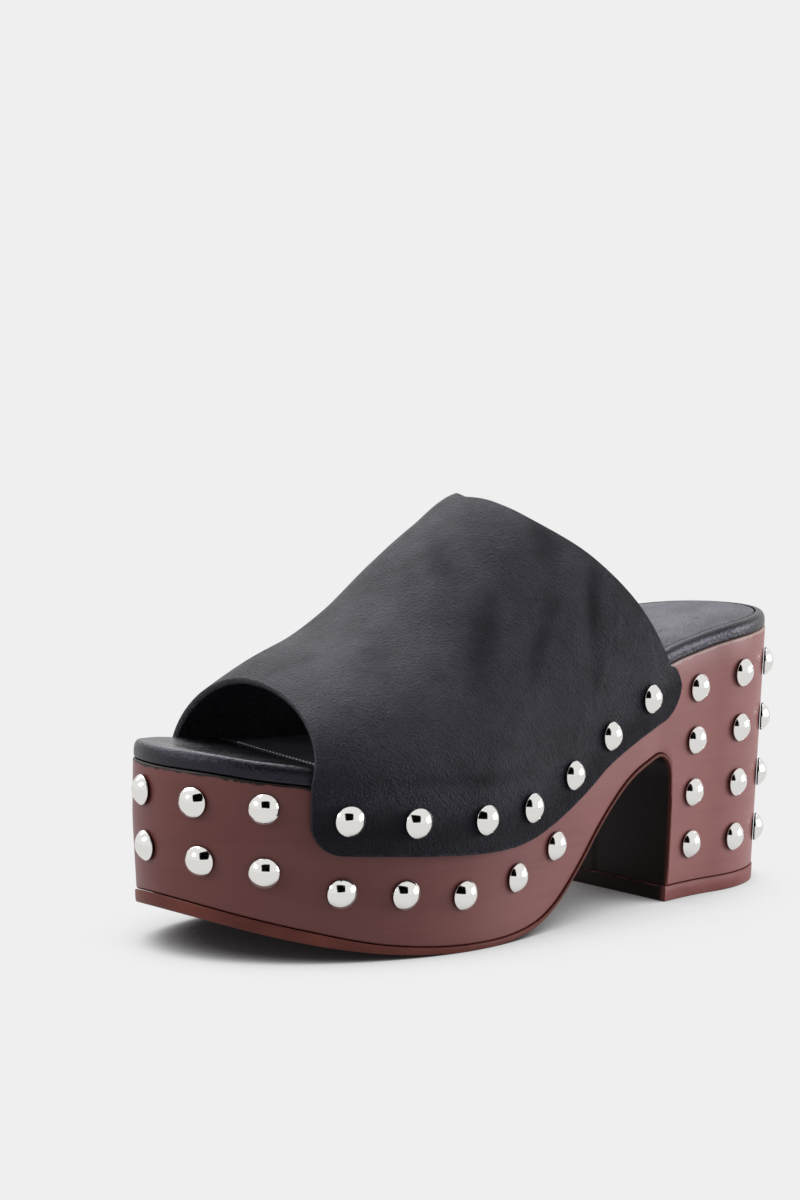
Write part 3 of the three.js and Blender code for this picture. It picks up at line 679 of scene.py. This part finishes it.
def makeHeelLift():
    # top piece of the heel, standing proud of the wood, its breast face painted dark as painted shade
    proud, edge, top = heelLift["proud"], heelLift["edge"], heelLift["thickness"]
    section = [(proud - edge, 0), (proud - 0.3 * edge, 0.3 * edge), (proud, edge), (proud, top / 2),
               (proud, top - edge), (proud - heelLift["topInset"], top)]
    rings = [(out, flatAt(z)) for out, z in section]
    grids = slab(breastStation, lastStation, rings, heelLift["across"], flatAt(0), flatAt(top))
    under = [np.zeros(grid.shape[:2]) for grid in grids]
    # the breast face, under the arch, painted as shade
    under[4][:, 1:-1] = 1
    return gridMesh("heel_lift_piece", grids, liftRubber, [("under", under)])


footbed = {
    "toeHeight": 5.8,
    "heelHeight": 4.8,
    "recess": 2.4,
    # inset in millimetres and rise as a share of the rim's height
    "section": [
        (0.7, 0), (0.35, 0.03), (0.2, 0.12), (0.2, 0.28),
        (0.22, 0.45), (0.4, 0.64), (0.75, 0.8), (1.3, 0.92),
        (2, 0.985), (2.7, 1), (3.2, 1),
    ],
    "steps": 4,
    # the rim's height falls from toe to heel between these shares of the sole
    "fallFrom": 0.25,
    "fallTo": 0.6,
    "across": 26,
    # where the sock starts behind the tip, and how much further forward on the outer side
    "seam": 42,
    "skew": 0.26,
    "frontSteps": 46,
    "rearSteps": 190,
    "seamRun": 0.02,
}


def rimHeight(y):
    # height of the rim over the wood, a smooth fall from toe to heel
    fallen = smoothStep(footbed["fallFrom"], footbed["fallTo"], np.asarray(y, float) / sole["length"])
    return footbed["toeHeight"] + (footbed["heelHeight"] - footbed["toeHeight"]) * fallen


def deckTop(y):
    return woodTop(y) + rimHeight(y)


def deckRings(section, steps, height):
    # both sides of stacked rings over the wood's top, by stations
    points = splineThrough(section, (len(section) - 1) * steps + 1)
    return np.stack([wallRing(0, lastStation, -inset, height(rise)) for inset, rise in points])


def alongSides(levels, indexes):
    # the same rings at fractional stations, given for each side
    low = np.minimum(indexes.astype(int), lastStation - 1)
    part = (indexes - low)[:, :, None]
    sides = [levels[:, side, low[side]] * (1 - part[side]) + levels[:, side, low[side] + 1] * part[side]
             for side in (0, 1)]
    return np.stack(sides, 1)


def seamStations(ring, gap):
    # fractional station of each side where the sock's front edge crosses a ring
    front = ring[..., 1] + footbed["skew"] * ring[..., 0] - footbed["seam"] - gap
    half = lastStation // 2
    return [float(np.interp(0, front[side, :half], np.arange(half))) for side in (0, 1)]


def stationRows(first, last, count):
    # even rows of fractional stations on both sides
    return np.stack([np.linspace(first[side], last[side], count) for side in (0, 1)])


def makeFootbed():
    # padded rim along the wood's top edge; behind the seam a recess for the sock
    def overWood(share):
        return lambda y: woodTop(y) + sole["clearance"] + (rimHeight(y) - sole["clearance"]) * share
    levels = deckRings(footbed["section"], footbed["steps"], overWood)
    start = seamStations(levels[-1], 0)
    rows = np.concatenate([stationRows((0, 0), start, footbed["frontSteps"]),
                           stationRows(start, (lastStation, lastStation), footbed["rearSteps"])], 1)
    rows[:, footbed["frontSteps"]] += footbed["seamRun"]  # the step down at the seam is nearly upright
    levels = alongSides(levels, rows)
    sunk = np.zeros(rows.shape[1])
    sunk[footbed["frontSteps"]:] = footbed["recess"]
    inner = levels[-1:].copy()
    inner[..., 2] -= sunk
    levels = np.concatenate([levels, inner])
    low, top = bridge(*levels[0], footbed["across"]), bridge(*levels[-1], footbed["across"])
    low[:, 1:-1, 2] = woodTop(low[:, 1:-1, 1]) + sole["clearance"]
    top[:, 1:-1, 2] = deckTop(top[:, 1:-1, 1]) - sunk[:, None]
    return gridMesh("footbed_rim", [levels[:, 0], levels[:, 1], low, top], rimLeather)


sock = {
    # inset and rise over the rim's height, in millimetres
    "section": [
        (3.5, -2.1), (3.5, -1.1), (3.55, -0.55), (3.8, -0.16), (4.3, 0.04),
        (5.2, 0.2), (6.6, 0.45), (8.6, 0.8), (11, 1.1), (14, 1.3),
    ],
    "steps": 3,
    "across": 60,
    "alongSteps": 260,
    # gap to the seam of the rim
    "gap": 0.35,
    # painted shade under the vamp toward the toe: how much, and where it starts to clear and is gone
    "dark": 0.9,
    "clearFrom": 90,
    "clearTo": 170,
    "crownStart": 16,
    # soft wrinkles at the heel: across and along the sole, bend, length, width, height, and turn from
    # across the sole in degrees
    "wrinkles": [
        (-6, 196, 0.010, 17, 2.2, 0.34, 12),
        (5, 206, -0.008, 15, 2.4, 0.3, -8),
        (-10, 183, 0.012, 14, 2.0, 0.28, 20),
        (10, 189, 0.006, 13, 2.4, 0.26, -18),
    ],
}


def sockRelief(x, y):
    # soft wrinkles: low curved ridges, each a bell across its line that fades toward its ends
    relief = np.zeros_like(x)
    for atX, atY, bend, length, width, height, turn in sock["wrinkles"]:
        c, s = math.cos(math.radians(turn)), math.sin(math.radians(turn))
        u, v = (x - atX) * c + (y - atY) * s, -(x - atX) * s + (y - atY) * c
        v = v - bend * u * u
        relief += height * np.exp(-(v / width) ** 2 - (u / length) ** 4)
    return relief


def makeSock():
    # sock in the recess: level with the rim at its edge, crowned behind the seam, with soft wrinkles
    def overDeck(rise):
        return lambda y: deckTop(y) + rise
    levels = deckRings(sock["section"], sock["steps"], overDeck)
    rows = stationRows(seamStations(levels[0], sock["gap"]), (lastStation, lastStation), sock["alongSteps"])
    levels = alongSides(levels, rows)
    low, top = bridge(*levels[0], sock["across"]), bridge(*levels[-1], sock["across"])
    low[:, 1:-1, 2] = deckTop(low[:, 1:-1, 1]) + sock["section"][0][1]
    x, y = top[:, 1:-1, 0], top[:, 1:-1, 1]
    top[:, 1:-1, 2] = deckTop(y) + sock["section"][-1][1] + sockRelief(x, y)
    for grid in (levels, top):
        behind = grid[..., 1] + footbed["skew"] * grid[..., 0] - footbed["seam"]
        crown = np.clip(grid[..., 2] - deckTop(grid[..., 1]), 0, None)
        grid[..., 2] -= crown * (1 - smoothStep(0, sock["crownStart"], behind))
    front = bridge(*levels[:, :, 0].swapaxes(0, 1), sock["across"])
    front[-1, :, 2] = top[0, :, 2]
    grids = [levels[:, 0], levels[:, 1], low, top, front]
    # painted shade toward the toe, under the vamp
    shaded = [sock["dark"] * (1 - smoothStep(sock["clearFrom"], sock["clearTo"], grid[..., 1]))
              for grid in grids]
    return gridMesh("sock_leather", grids, sockLeather, [("shaded", shaded)])


vamp = {
    "leather": 2.2,
    "glueGap": 0.5,
    "height": 131,
    "lowerEdge": 30,
    "corner": 8.5,
    "tab": 6.3,
    # along the sole, ridge across it, height, fullness of the outer and the inner side
    "rows": [
        (0.02, 0.062, 0.451, 2.4, 1.85),
        (0.083, 0.042, 0.527, 2.36, 1.85),
        (0.145, 0.016, 0.6, 2.2, 1.9),
        (0.207, -0.013, 0.658, 2.05, 1.95),
        (0.269, -0.039, 0.7, 1.95, 2),
        (0.331, -0.063, 0.765, 1.88, 2.05),
        (0.394, -0.087, 0.857, 1.83, 2.1),
        (0.456, -0.109, 0.934, 1.8, 2.13),
        (0.518, -0.131, 0.994, 1.83, 2.13),
        (0.6, -0.13, 0.995, 1.93, 2.13),
        (0.745, -0.122, 0.995, 2, 2.13),
    ],
    # from the inner foot -1 over the ridge 0 to the outer foot 1: front and rear edge along the sole
    "edges": [
        (-1.2, 0.144, 0.722),
        (-1, 0.147, 0.696),
        (-0.5, 0.152, 0.63),
        (-0.25, 0.15, 0.565),
        (0, 0.145, 0.4985),
        (0.25, 0.136, 0.541),
        (0.5, 0.125, 0.611),
        (0.75, 0.115, 0.67),
        (1, 0.106, 0.7155),
        (1.2, 0.1, 0.746),
    ],
    # along the sole, height of the lower edge as a share of its lowest run
    "lower": [
        (0.1, 1.107), (0.17, 1.08), (0.26, 1.033), (0.35, 1),
        (0.387, 1.007), (0.425, 1.053), (0.464, 1.147), (0.501, 1.283),
        (0.543, 1.46), (0.58, 1.637), (0.621, 1.777), (0.663, 1.9),
        (0.704, 1.985), (0.75, 2.06),
    ],
    "alongSteps": 130,
    "archSteps": 170,
    "wallSteps": 26,
    "edgeSteps": 4,
    "edgeBulge": 0.5,
    # distance to each side over which a wall's slope is measured
    "near": 0.4,
    # creases flatten out within these shares of the front edge, the rear edge and the feet
    "calmFront": 0.1,
    "calmRear": 0.06,
    "calmFoot": 0.08,
    # from the ridge to a foot, over the leather, and how much a crease bends
    "girth": 96,
    "bend": 0.012,
    # painted shade: darker down the wall of the wood and in the troughs
    "wallDark": 0.75,
    "wallDarkBy": 0.7,
    "troughDark": 1.1,
    "mostDark": 0.9,
    # soft troughs and ridges: across (-1 to 1) and along the sole, length, width, depth, and turn from
    # along the sole toward the ridge in degrees
    "creases": [
        (0.62, 140, 16, 3.4, -0.75, 62),
        (0.57, 132, 18, 3.8, 0.55, 62),
        (0.4, 130, 15, 6.5, -0.55, 58),
        (0.52, 94, 17, 6, -0.75, 42),
        (0.66, 112, 17, 4, -0.6, 40),
        (0.78, 100, 19, 4.5, 0.5, 32),
        (0.4, 112, 15, 4.5, 0.4, 48),
        (0.88, 130, 15, 2, 0.42, 40),
        (0.8, 139, 14, 1.8, 0.42, 52),
        (0.72, 148, 12, 1.6, 0.36, 66),
        (0.84, 134, 14, 1.8, -0.3, 46),
        (0.96, 82, 28, 4, -0.6, 4),
        (0.93, 60, 20, 4, -0.45, 6),
        (0.2, 98, 14, 5, -0.4, 70),
        (0.3, 62, 16, 6, -0.3, 60),
        (-0.45, 118, 16, 4, -0.55, -50),
        (-0.7, 100, 18, 4, 0.45, -36),
        (-0.62, 136, 15, 3.4, -0.5, -58),
    ],
}


def wallX(side, y, z, proud):
    # side of the wood at a height, moved out square to the outline: the edge, the offset over the cosine of
    # its slope, less the lean
    slope = edgeX(side, y + 0.5) - edgeX(side, y - 0.5)
    return edgeX(side, y) + side["sign"] * (proud * np.hypot(1, slope) - lean(y, z)[0])


def vampSurface(across, down, share):
    # outer face of the vamp: a superelliptic arch over the foot, then down the wall of the wood
    front = sole["length"] * through(vamp["edges"], 1, across)
    rear = sole["length"] * through(vamp["edges"], 2, across)
    y = front + (rear + vamp["tab"] * np.sqrt(down) - front) * share
    along = y / sole["length"]
    spring = woodTop(y) + sole["clearance"]
    proud = vamp["leather"] + vamp["glueGap"]

    def corner(distance):
        left = np.clip(vamp["corner"] - distance, 0, vamp["corner"])
        return vamp["corner"] - np.sqrt(vamp["corner"] ** 2 - left ** 2)
    footY = front + (rear + vamp["tab"] - front) * share
    edge = vamp["lowerEdge"] * through(vamp["lower"], 1, footY / sole["length"])
    edge = edge + corner(footY - front) + corner(rear + vamp["tab"] - footY)
    wallZ = spring + (edge - spring) * down
    angle = np.pi / 2 * (1 - np.abs(across))
    ridge = sole["ballOuter"] * through(vamp["rows"], 1, along)
    top = vamp["height"] * through(vamp["rows"], 2, along)
    full = 2 / np.where(across >= 0, through(vamp["rows"], 3, along), through(vamp["rows"], 4, along))
    shapes = []
    for side in (outerSide, innerSide):
        foot = wallX(side, y, spring, proud)
        archX = ridge + (foot - ridge) * np.clip(np.cos(angle), 0, 1) ** full
        shapes.append(np.where(down > 0, wallX(side, y, wallZ, proud), archX))
    x = np.where(across >= 0, shapes[0], shapes[1])
    z = np.where(down > 0, wallZ, spring + (top - spring) * np.clip(np.sin(angle), 0, 1) ** full)
    return np.stack([x, y, z], -1)


def vampRelief(across, y):
    # each crease is a bell across its own bent line that fades toward its ends
    relief = np.zeros(np.broadcast(across, y).shape)
    for atAcross, atY, length, width, depth, turn in vamp["creases"]:
        c, s = math.cos(math.radians(turn)), math.sin(math.radians(turn))
        over, along = -(across - atAcross) * vamp["girth"] * np.sign(atAcross), y - atY
        if atAcross < 0:
            s = -s
        u, v = along * c + over * s, -along * s + over * c
        relief += depth * np.exp(-((v + vamp["bend"] * u * u) / width) ** 2 - (u / length) ** 2)
    return relief


def makeVamp():
    # the outer face as a grid, the lining one wall further in, and rounded cut edges between them
    wall = np.linspace(1, 0, vamp["wallSteps"], endpoint=False)
    arch = np.linspace(1, -1, vamp["archSteps"] + 1)
    across = np.concatenate([np.ones(len(wall)), arch, -np.ones(len(wall))])
    down = np.concatenate([wall, np.zeros(len(arch)), wall[::-1]])
    share = 0.5 - 0.5 * np.cos(np.linspace(0, np.pi, vamp["alongSteps"] + 1))
    face = vampSurface(across[None, :], down[None, :], share[:, None])
    out = np.cross(np.gradient(face, axis=0), np.gradient(face, axis=1))
    for side, columns in ((outerSide, slice(0, len(wall))), (innerSide, slice(-len(wall), None))):
        # square to the wall itself, since the grid folds up at the corners of the lower edge
        y, z, near = face[:, columns, 1], face[:, columns, 2], vamp["near"]
        slopeY = (wallX(side, y + near, z, 0) - wallX(side, y - near, z, 0)) / (2 * near)
        slopeZ = (wallX(side, y, z + near, 0) - wallX(side, y, z - near, 0)) / (2 * near)
        out[:, columns] = side["sign"] * np.stack([np.ones_like(y), -slopeY, -slopeZ], -1)
    out /= np.linalg.norm(out, axis=-1, keepdims=True)
    lining = face - out * vamp["leather"]
    calmAlong = smoothStep(0, vamp["calmFront"], share) * smoothStep(0, vamp["calmRear"], 1 - share)
    calmAcross = (down == 0) * smoothStep(0, vamp["calmFoot"], 1 - np.abs(across))
    relief = vampRelief(across[None, :], face[..., 1]) * calmAlong[:, None] * calmAcross[None, :]
    face = face + out * relief[..., None]

    def rim(grid):
        return np.concatenate([grid[:-1, 0], grid[-1, :-1], grid[:0:-1, -1], grid[0, :0:-1]])
    way = np.roll(rim(face), -1, 0) - np.roll(rim(face), 1, 0)
    past = np.cross(way, rim(out))
    past /= np.linalg.norm(past, axis=-1, keepdims=True)
    angles = np.linspace(0, np.pi, vamp["edgeSteps"] + 2)
    half = vamp["leather"] / 2
    edge = np.stack([
        rim(face) - rim(out) * half * (1 - math.cos(a)) + past * vamp["edgeBulge"] * math.sin(a)
        for a in angles])
    edge = np.concatenate([edge, edge[:, :1]], 1)
    # painted shade down the wall of the wood and in the troughs; the lining is painted fully in shade
    wallShade = vamp["wallDark"] * smoothStep(0, vamp["wallDarkBy"], down)
    shade = np.clip(wallShade[None, :] - vamp["troughDark"] * relief, 0, vamp["mostDark"])
    shaded = [shade, np.ones(lining.shape[:2]), np.zeros(edge.shape[:2])]
    # paler toward the cut edge's crest: the edge's own colour and a painted highlight
    cut = [np.zeros(face.shape[:2]), np.zeros(lining.shape[:2]),
           np.repeat(np.sin(angles)[:, None], edge.shape[1], 1)]
    attributes = [("shaded", shaded), ("cut", cut)]
    return gridMesh("vamp_leather", [face, lining, edge], vampLeather, attributes, sharp=70)


stud = {
    "height": 3.1,
    # radius and height of the turned section
    "section": [(0, 0), (4.3, 0), (4.46, 0.1), (4.5, 0.3), (4.5, 0.45), (4.5, 0.55), (4.49, 0.68)],
    # below this height the foot is painted dark as painted shade
    "footShadeBelow": 0.5,
    "skirt": 0.75,
    "crown": 4.47,
    "domePower": 2.3,
    "domeSteps": 14,
    "around": 30,
    # the inner side's lower row, as shares of the way round from the toe tip, and its drop below the vamp
    "innerWood": [0.295, 0.375, 0.455, 0.535],
    "belowEdge": 11.5,
}


def studProfile():
    # straight foot, then a dome whose height falls with a power of the distance from its middle
    share = np.sin(np.linspace(np.pi / 2, 0, stud["domeSteps"] + 1))
    height = stud["skirt"] + (stud["height"] - stud["skirt"]) * (1 - share ** stud["domePower"])
    return np.vstack([stud["section"], np.stack([stud["crown"] * share, height], 1)])


def studMesh(name, seat, axis):
    # the section turned round the stud's axis
    profile = studProfile()
    turn = np.linspace(0, 2 * np.pi, stud["around"] + 1)
    side = np.cross(axis, [0, 0, 1])
    side /= np.linalg.norm(side)
    up = np.cross(side, axis)
    ring = np.cos(turn)[:, None] * side + np.sin(turn)[:, None] * up
    grid = seat + profile[:, 0, None, None] * ring + profile[:, 1, None, None] * axis
    # painted shade on the foot below the given height
    foot = np.repeat((profile[:, 1] < stud["footShadeBelow"])[:, None], len(turn), 1).astype(float)
    return gridMesh(name, [grid], nickel, [("foot", [foot])], sharp=55)


def studSeat(node):
    # place and axis of a stud from its CAD solid: the thinnest direction, pointing to the dome
    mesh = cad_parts[node].data
    points = np.empty(len(mesh.vertices) * 3)
    mesh.vertices.foreach_get("co", points)
    points = np.unique(np.round(points.reshape(-1, 3), 6), axis=0) * 1000 - shift
    centre = points.mean(0)
    axis = np.linalg.svd(points - centre)[2][-1]
    reach = (points - centre) @ axis
    if abs(reach.min()) > reach.max():
        axis, reach = -axis, -reach
    return centre + axis * (reach.max() - stud["height"]), axis


addPiece("platform_wood", makePlatform(), "wood", "platform")
addPiece("outsole_sheet", makeOutsole(), "outsole", "outsole")
addPiece("heel_lift_piece", makeHeelLift(), "heel_lift", "heel_lift")
addPiece("footbed_rim", makeFootbed(), "footbed_leather", "footbed")
addPiece("sock", makeSock(), "sock_leather", "insole")
addPiece("vamp_leather", makeVamp(), "upper_leather", "upper")
print("sole and vamp ready")

for node in sorted(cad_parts):
    if node.startswith("stud_"):
        seat, axis = studSeat(node)
        addPiece(node + "_cap", studMesh(node + "_cap", seat, axis), "stud_metal", node)


def innerSeat(around):
    # place and axis on the leaning inner wall, a share of the way round from the toe tip
    steps = np.linalg.norm(np.diff(outline[1], axis=0), axis=1)
    length = np.concatenate([[0], np.cumsum(steps)])
    x, y = (np.interp(around * length[-1], length, outline[1, :, i]) for i in (0, 1))
    out = np.array([np.interp(around * length[-1], length, outward[1, :, i]) for i in (0, 1)])
    z = vamp["lowerEdge"] * float(through(vamp["lower"], 1, y / sole["length"])) - stud["belowEdge"]

    def wall(height):
        across, along = lean(y, height)
        return np.array([x - out[0] * across, y - out[1] * along, height])
    way = wall(z + 1) - wall(z - 1)
    axis = np.cross(way, np.array([out[1], -out[0], 0]))
    axis /= np.linalg.norm(axis)
    axis *= np.sign(axis[:2] @ out)
    return wall(z) + axis * sole["clearance"], axis


for number, around in enumerate(stud["innerWood"], 1):
    seat, axis = innerSeat(around)
    name = "stud_wood_inner_" + str(number) + "_cap"
    addPiece(name, studMesh(name, seat, axis), "stud_metal")
print("studs ready")


stitch = {
    "from": -27,
    "to": 36,
    "pitch": 2.3,
    "length": 1.6,
    "width": 0.5,
    "behind": 2,
    "rise": 0.12,
    "around": 8,
    "along": 6,
}


def makeStitches():
    # small waxed stitches across the sock, just behind its front edge: each an egg laid along the seam
    turn = np.linspace(0, 2 * np.pi, stitch["around"] + 1)
    arch = np.linspace(0, np.pi, stitch["along"] + 1)
    skew = footbed["skew"]
    along = np.array([1, -skew, 0]) / math.hypot(1, skew)
    over = np.array([skew, 1, 0]) / math.hypot(1, skew)
    grids = []
    for x in np.arange(stitch["from"], stitch["to"], stitch["pitch"]):
        y = footbed["seam"] - skew * x + stitch["behind"]
        middle = np.array([x, y, float(deckTop(y)) + stitch["rise"]])
        body = (np.cos(arch)[:, None, None] * along * stitch["length"] / 2
                + (np.sin(arch)[:, None] * np.cos(turn))[..., None] * over * stitch["width"] / 2
                + (np.sin(arch)[:, None] * np.sin(turn))[..., None] * np.array([0, 0, stitch["width"] / 2]))
        grids.append(middle + body)
    return gridMesh("seam_stitches", grids, thread, sharp=80)


addPiece("seam_stitches", makeStitches(), "sock_leather")

stage = {
    "floorSize": 28,
    "background": "#efefef",
    # strength of the floor and of the studio round it, in what the sandal mirrors and in what lights it
    "floorMirrored": 0.88,
    "floorLit": 0.5,
    "worldMirrored": 0.95,
    "worldLit": 0.65,
    # how open the floor is to the air within this reach, in metres, and the painted shadow tone that gives
    "reach": 0.09,
    "shadow": [(0, "#100e0e"), (0.12, "#2f2c2c"), (0.26, "#7c7a7a"), (0.4, "#bdbdbd"), (0.54, "#e2e2e2"),
               (0.7, "#efefef")],
    # middle of the sandal, which the softboxes and the card face
    "aim": (0, 0, 0.05),
}


def facing(place):
    # stands at a place and looks at the middle of the sandal
    aim = Vector(stage["aim"]) - Vector(place)
    return Matrix.Translation(place) @ aim.to_track_quat("-Z", "Y").to_matrix().to_4x4()


def flatSheet(name, width, height, material):
    # level rectangle round the origin
    points = np.array([(-1, -1, 0), (1, -1, 0), (1, 1, 0), (-1, 1, 0)]) * (width / 2, height / 2, 1)
    mesh = bpy.data.meshes.new(name)
    mesh.from_pydata(points.tolist(), [], [(0, 1, 2, 3)])
    mesh.materials.append(material)
    sheet = bpy.data.objects.new(name, mesh)
    bpy.context.scene.collection.objects.link(sheet)
    return sheet


def rayStrength(tree, part):
    # full tone for the camera; what the sandal mirrors and what lights it have strengths of their own
    rays = addNode(tree, "LightPath").outputs
    ends = {"To Min": stage[part + "Lit"], "To Max": stage[part + "Mirrored"]}
    inside = addNode(tree, "MapRange", values=ends, links={"Value": rays["Is Glossy Ray"]}).outputs[0]
    return addNode(tree, "Mix", {"data_type": "FLOAT"}, {3: 1.0},
                   {0: rays["Is Camera Ray"], 2: inside}).outputs[0]


def makeFloor():
    # plain pale floor in the background's tone, painted shadow only where the sole closes it off from the air
    material, tree, _, _ = startMaterial("studio floor")
    air = addNode(tree, "AmbientOcclusion", {"samples": 16}, {"Distance": stage["reach"]})
    # painted shadow: tone from how open the floor is to the air
    tone = addNode(tree, "ValToRGB", links={"Fac": air.outputs["AO"]}, stops=stage["shadow"])
    glow = addNode(tree, "Emission", links={"Color": tone.outputs["Color"],
                                            "Strength": rayStrength(tree, "floor")})
    tree.links.new(glow.outputs["Emission"], tree.nodes["Material Output"].inputs["Surface"])
    flatSheet("floor", stage["floorSize"], stage["floorSize"], material)


card = {"place": (1.25, -0.8, 0.92), "width": 1.7, "height": 1.5, "tone": "#050505"}


def makeCard():
    # matt dark card behind the camera: the dark spot in each stud
    material, tree, shader, _ = startMaterial("black flocked card")
    fill(tree, shader, {"Base Color": card["tone"], "Roughness": 1, "Specular IOR Level": 0})
    flatSheet("dark card", card["width"], card["height"], material).matrix_world = facing(card["place"])


def makeWorld():
    # even pale studio all round
    world = bpy.data.worlds.new("studio")
    world.use_nodes = True
    tree = world.node_tree
    fill(tree, tree.nodes["Background"], {"Color": stage["background"]},
         {"Strength": rayStrength(tree, "world")})
    bpy.context.scene.world = world


lights = {
    # place, size and power of each softbox
    "overhead": ((-0.85, 0.1, 1.35), (1.7, 1.7), 31),
    "behind the heel": ((0.85, 1.4, 0.3), (1.0, 0.7), 13),
    "toe side": ((-0.35, -1.3, 0.75), (0.5, 0.35), 5),
}


def makeLights():
    for name, (place, size, power) in lights.items():
        lamp = bpy.data.lights.new(name, "AREA")
        lamp.shape = "RECTANGLE"
        lamp.size, lamp.size_y = size
        lamp.energy = power
        holder = bpy.data.objects.new(name, lamp)
        holder.matrix_world = facing(place)
        bpy.context.scene.collection.objects.link(holder)


camera = {
    "place": (0.844383, -0.759527, 0.229130),
    # in degrees: turn from straight along the sole, downward tilt, roll
    "azimuth": 49.31,
    "down": 6.63,
    "roll": 1.02,
    "lens": 111.0,
    "sensor": 36,
}


def makeCamera():
    azimuth, down, roll = (math.radians(camera[key]) for key in ("azimuth", "down", "roll"))
    ahead = Vector((-math.sin(azimuth) * math.cos(down), math.cos(azimuth) * math.cos(down),
                    -math.sin(down)))
    aside = Vector((math.cos(azimuth), math.sin(azimuth), 0))
    up = aside.cross(ahead)
    right = math.cos(roll) * aside + math.sin(roll) * up
    top = -math.sin(roll) * aside + math.cos(roll) * up
    turn = Matrix((right, top, -ahead)).transposed().to_4x4()
    data = bpy.data.cameras.new("photo view")
    data.lens = camera["lens"]
    data.sensor_width = camera["sensor"]
    holder = bpy.data.objects.new("photo view", data)
    holder.matrix_world = Matrix.Translation(camera["place"]) @ turn
    bpy.context.scene.collection.objects.link(holder)
    bpy.context.scene.camera = holder


makeFloor()
makeCard()
makeWorld()
makeLights()
makeCamera()
bpy.context.scene.view_settings.view_transform = "Standard"
print("studio ready")
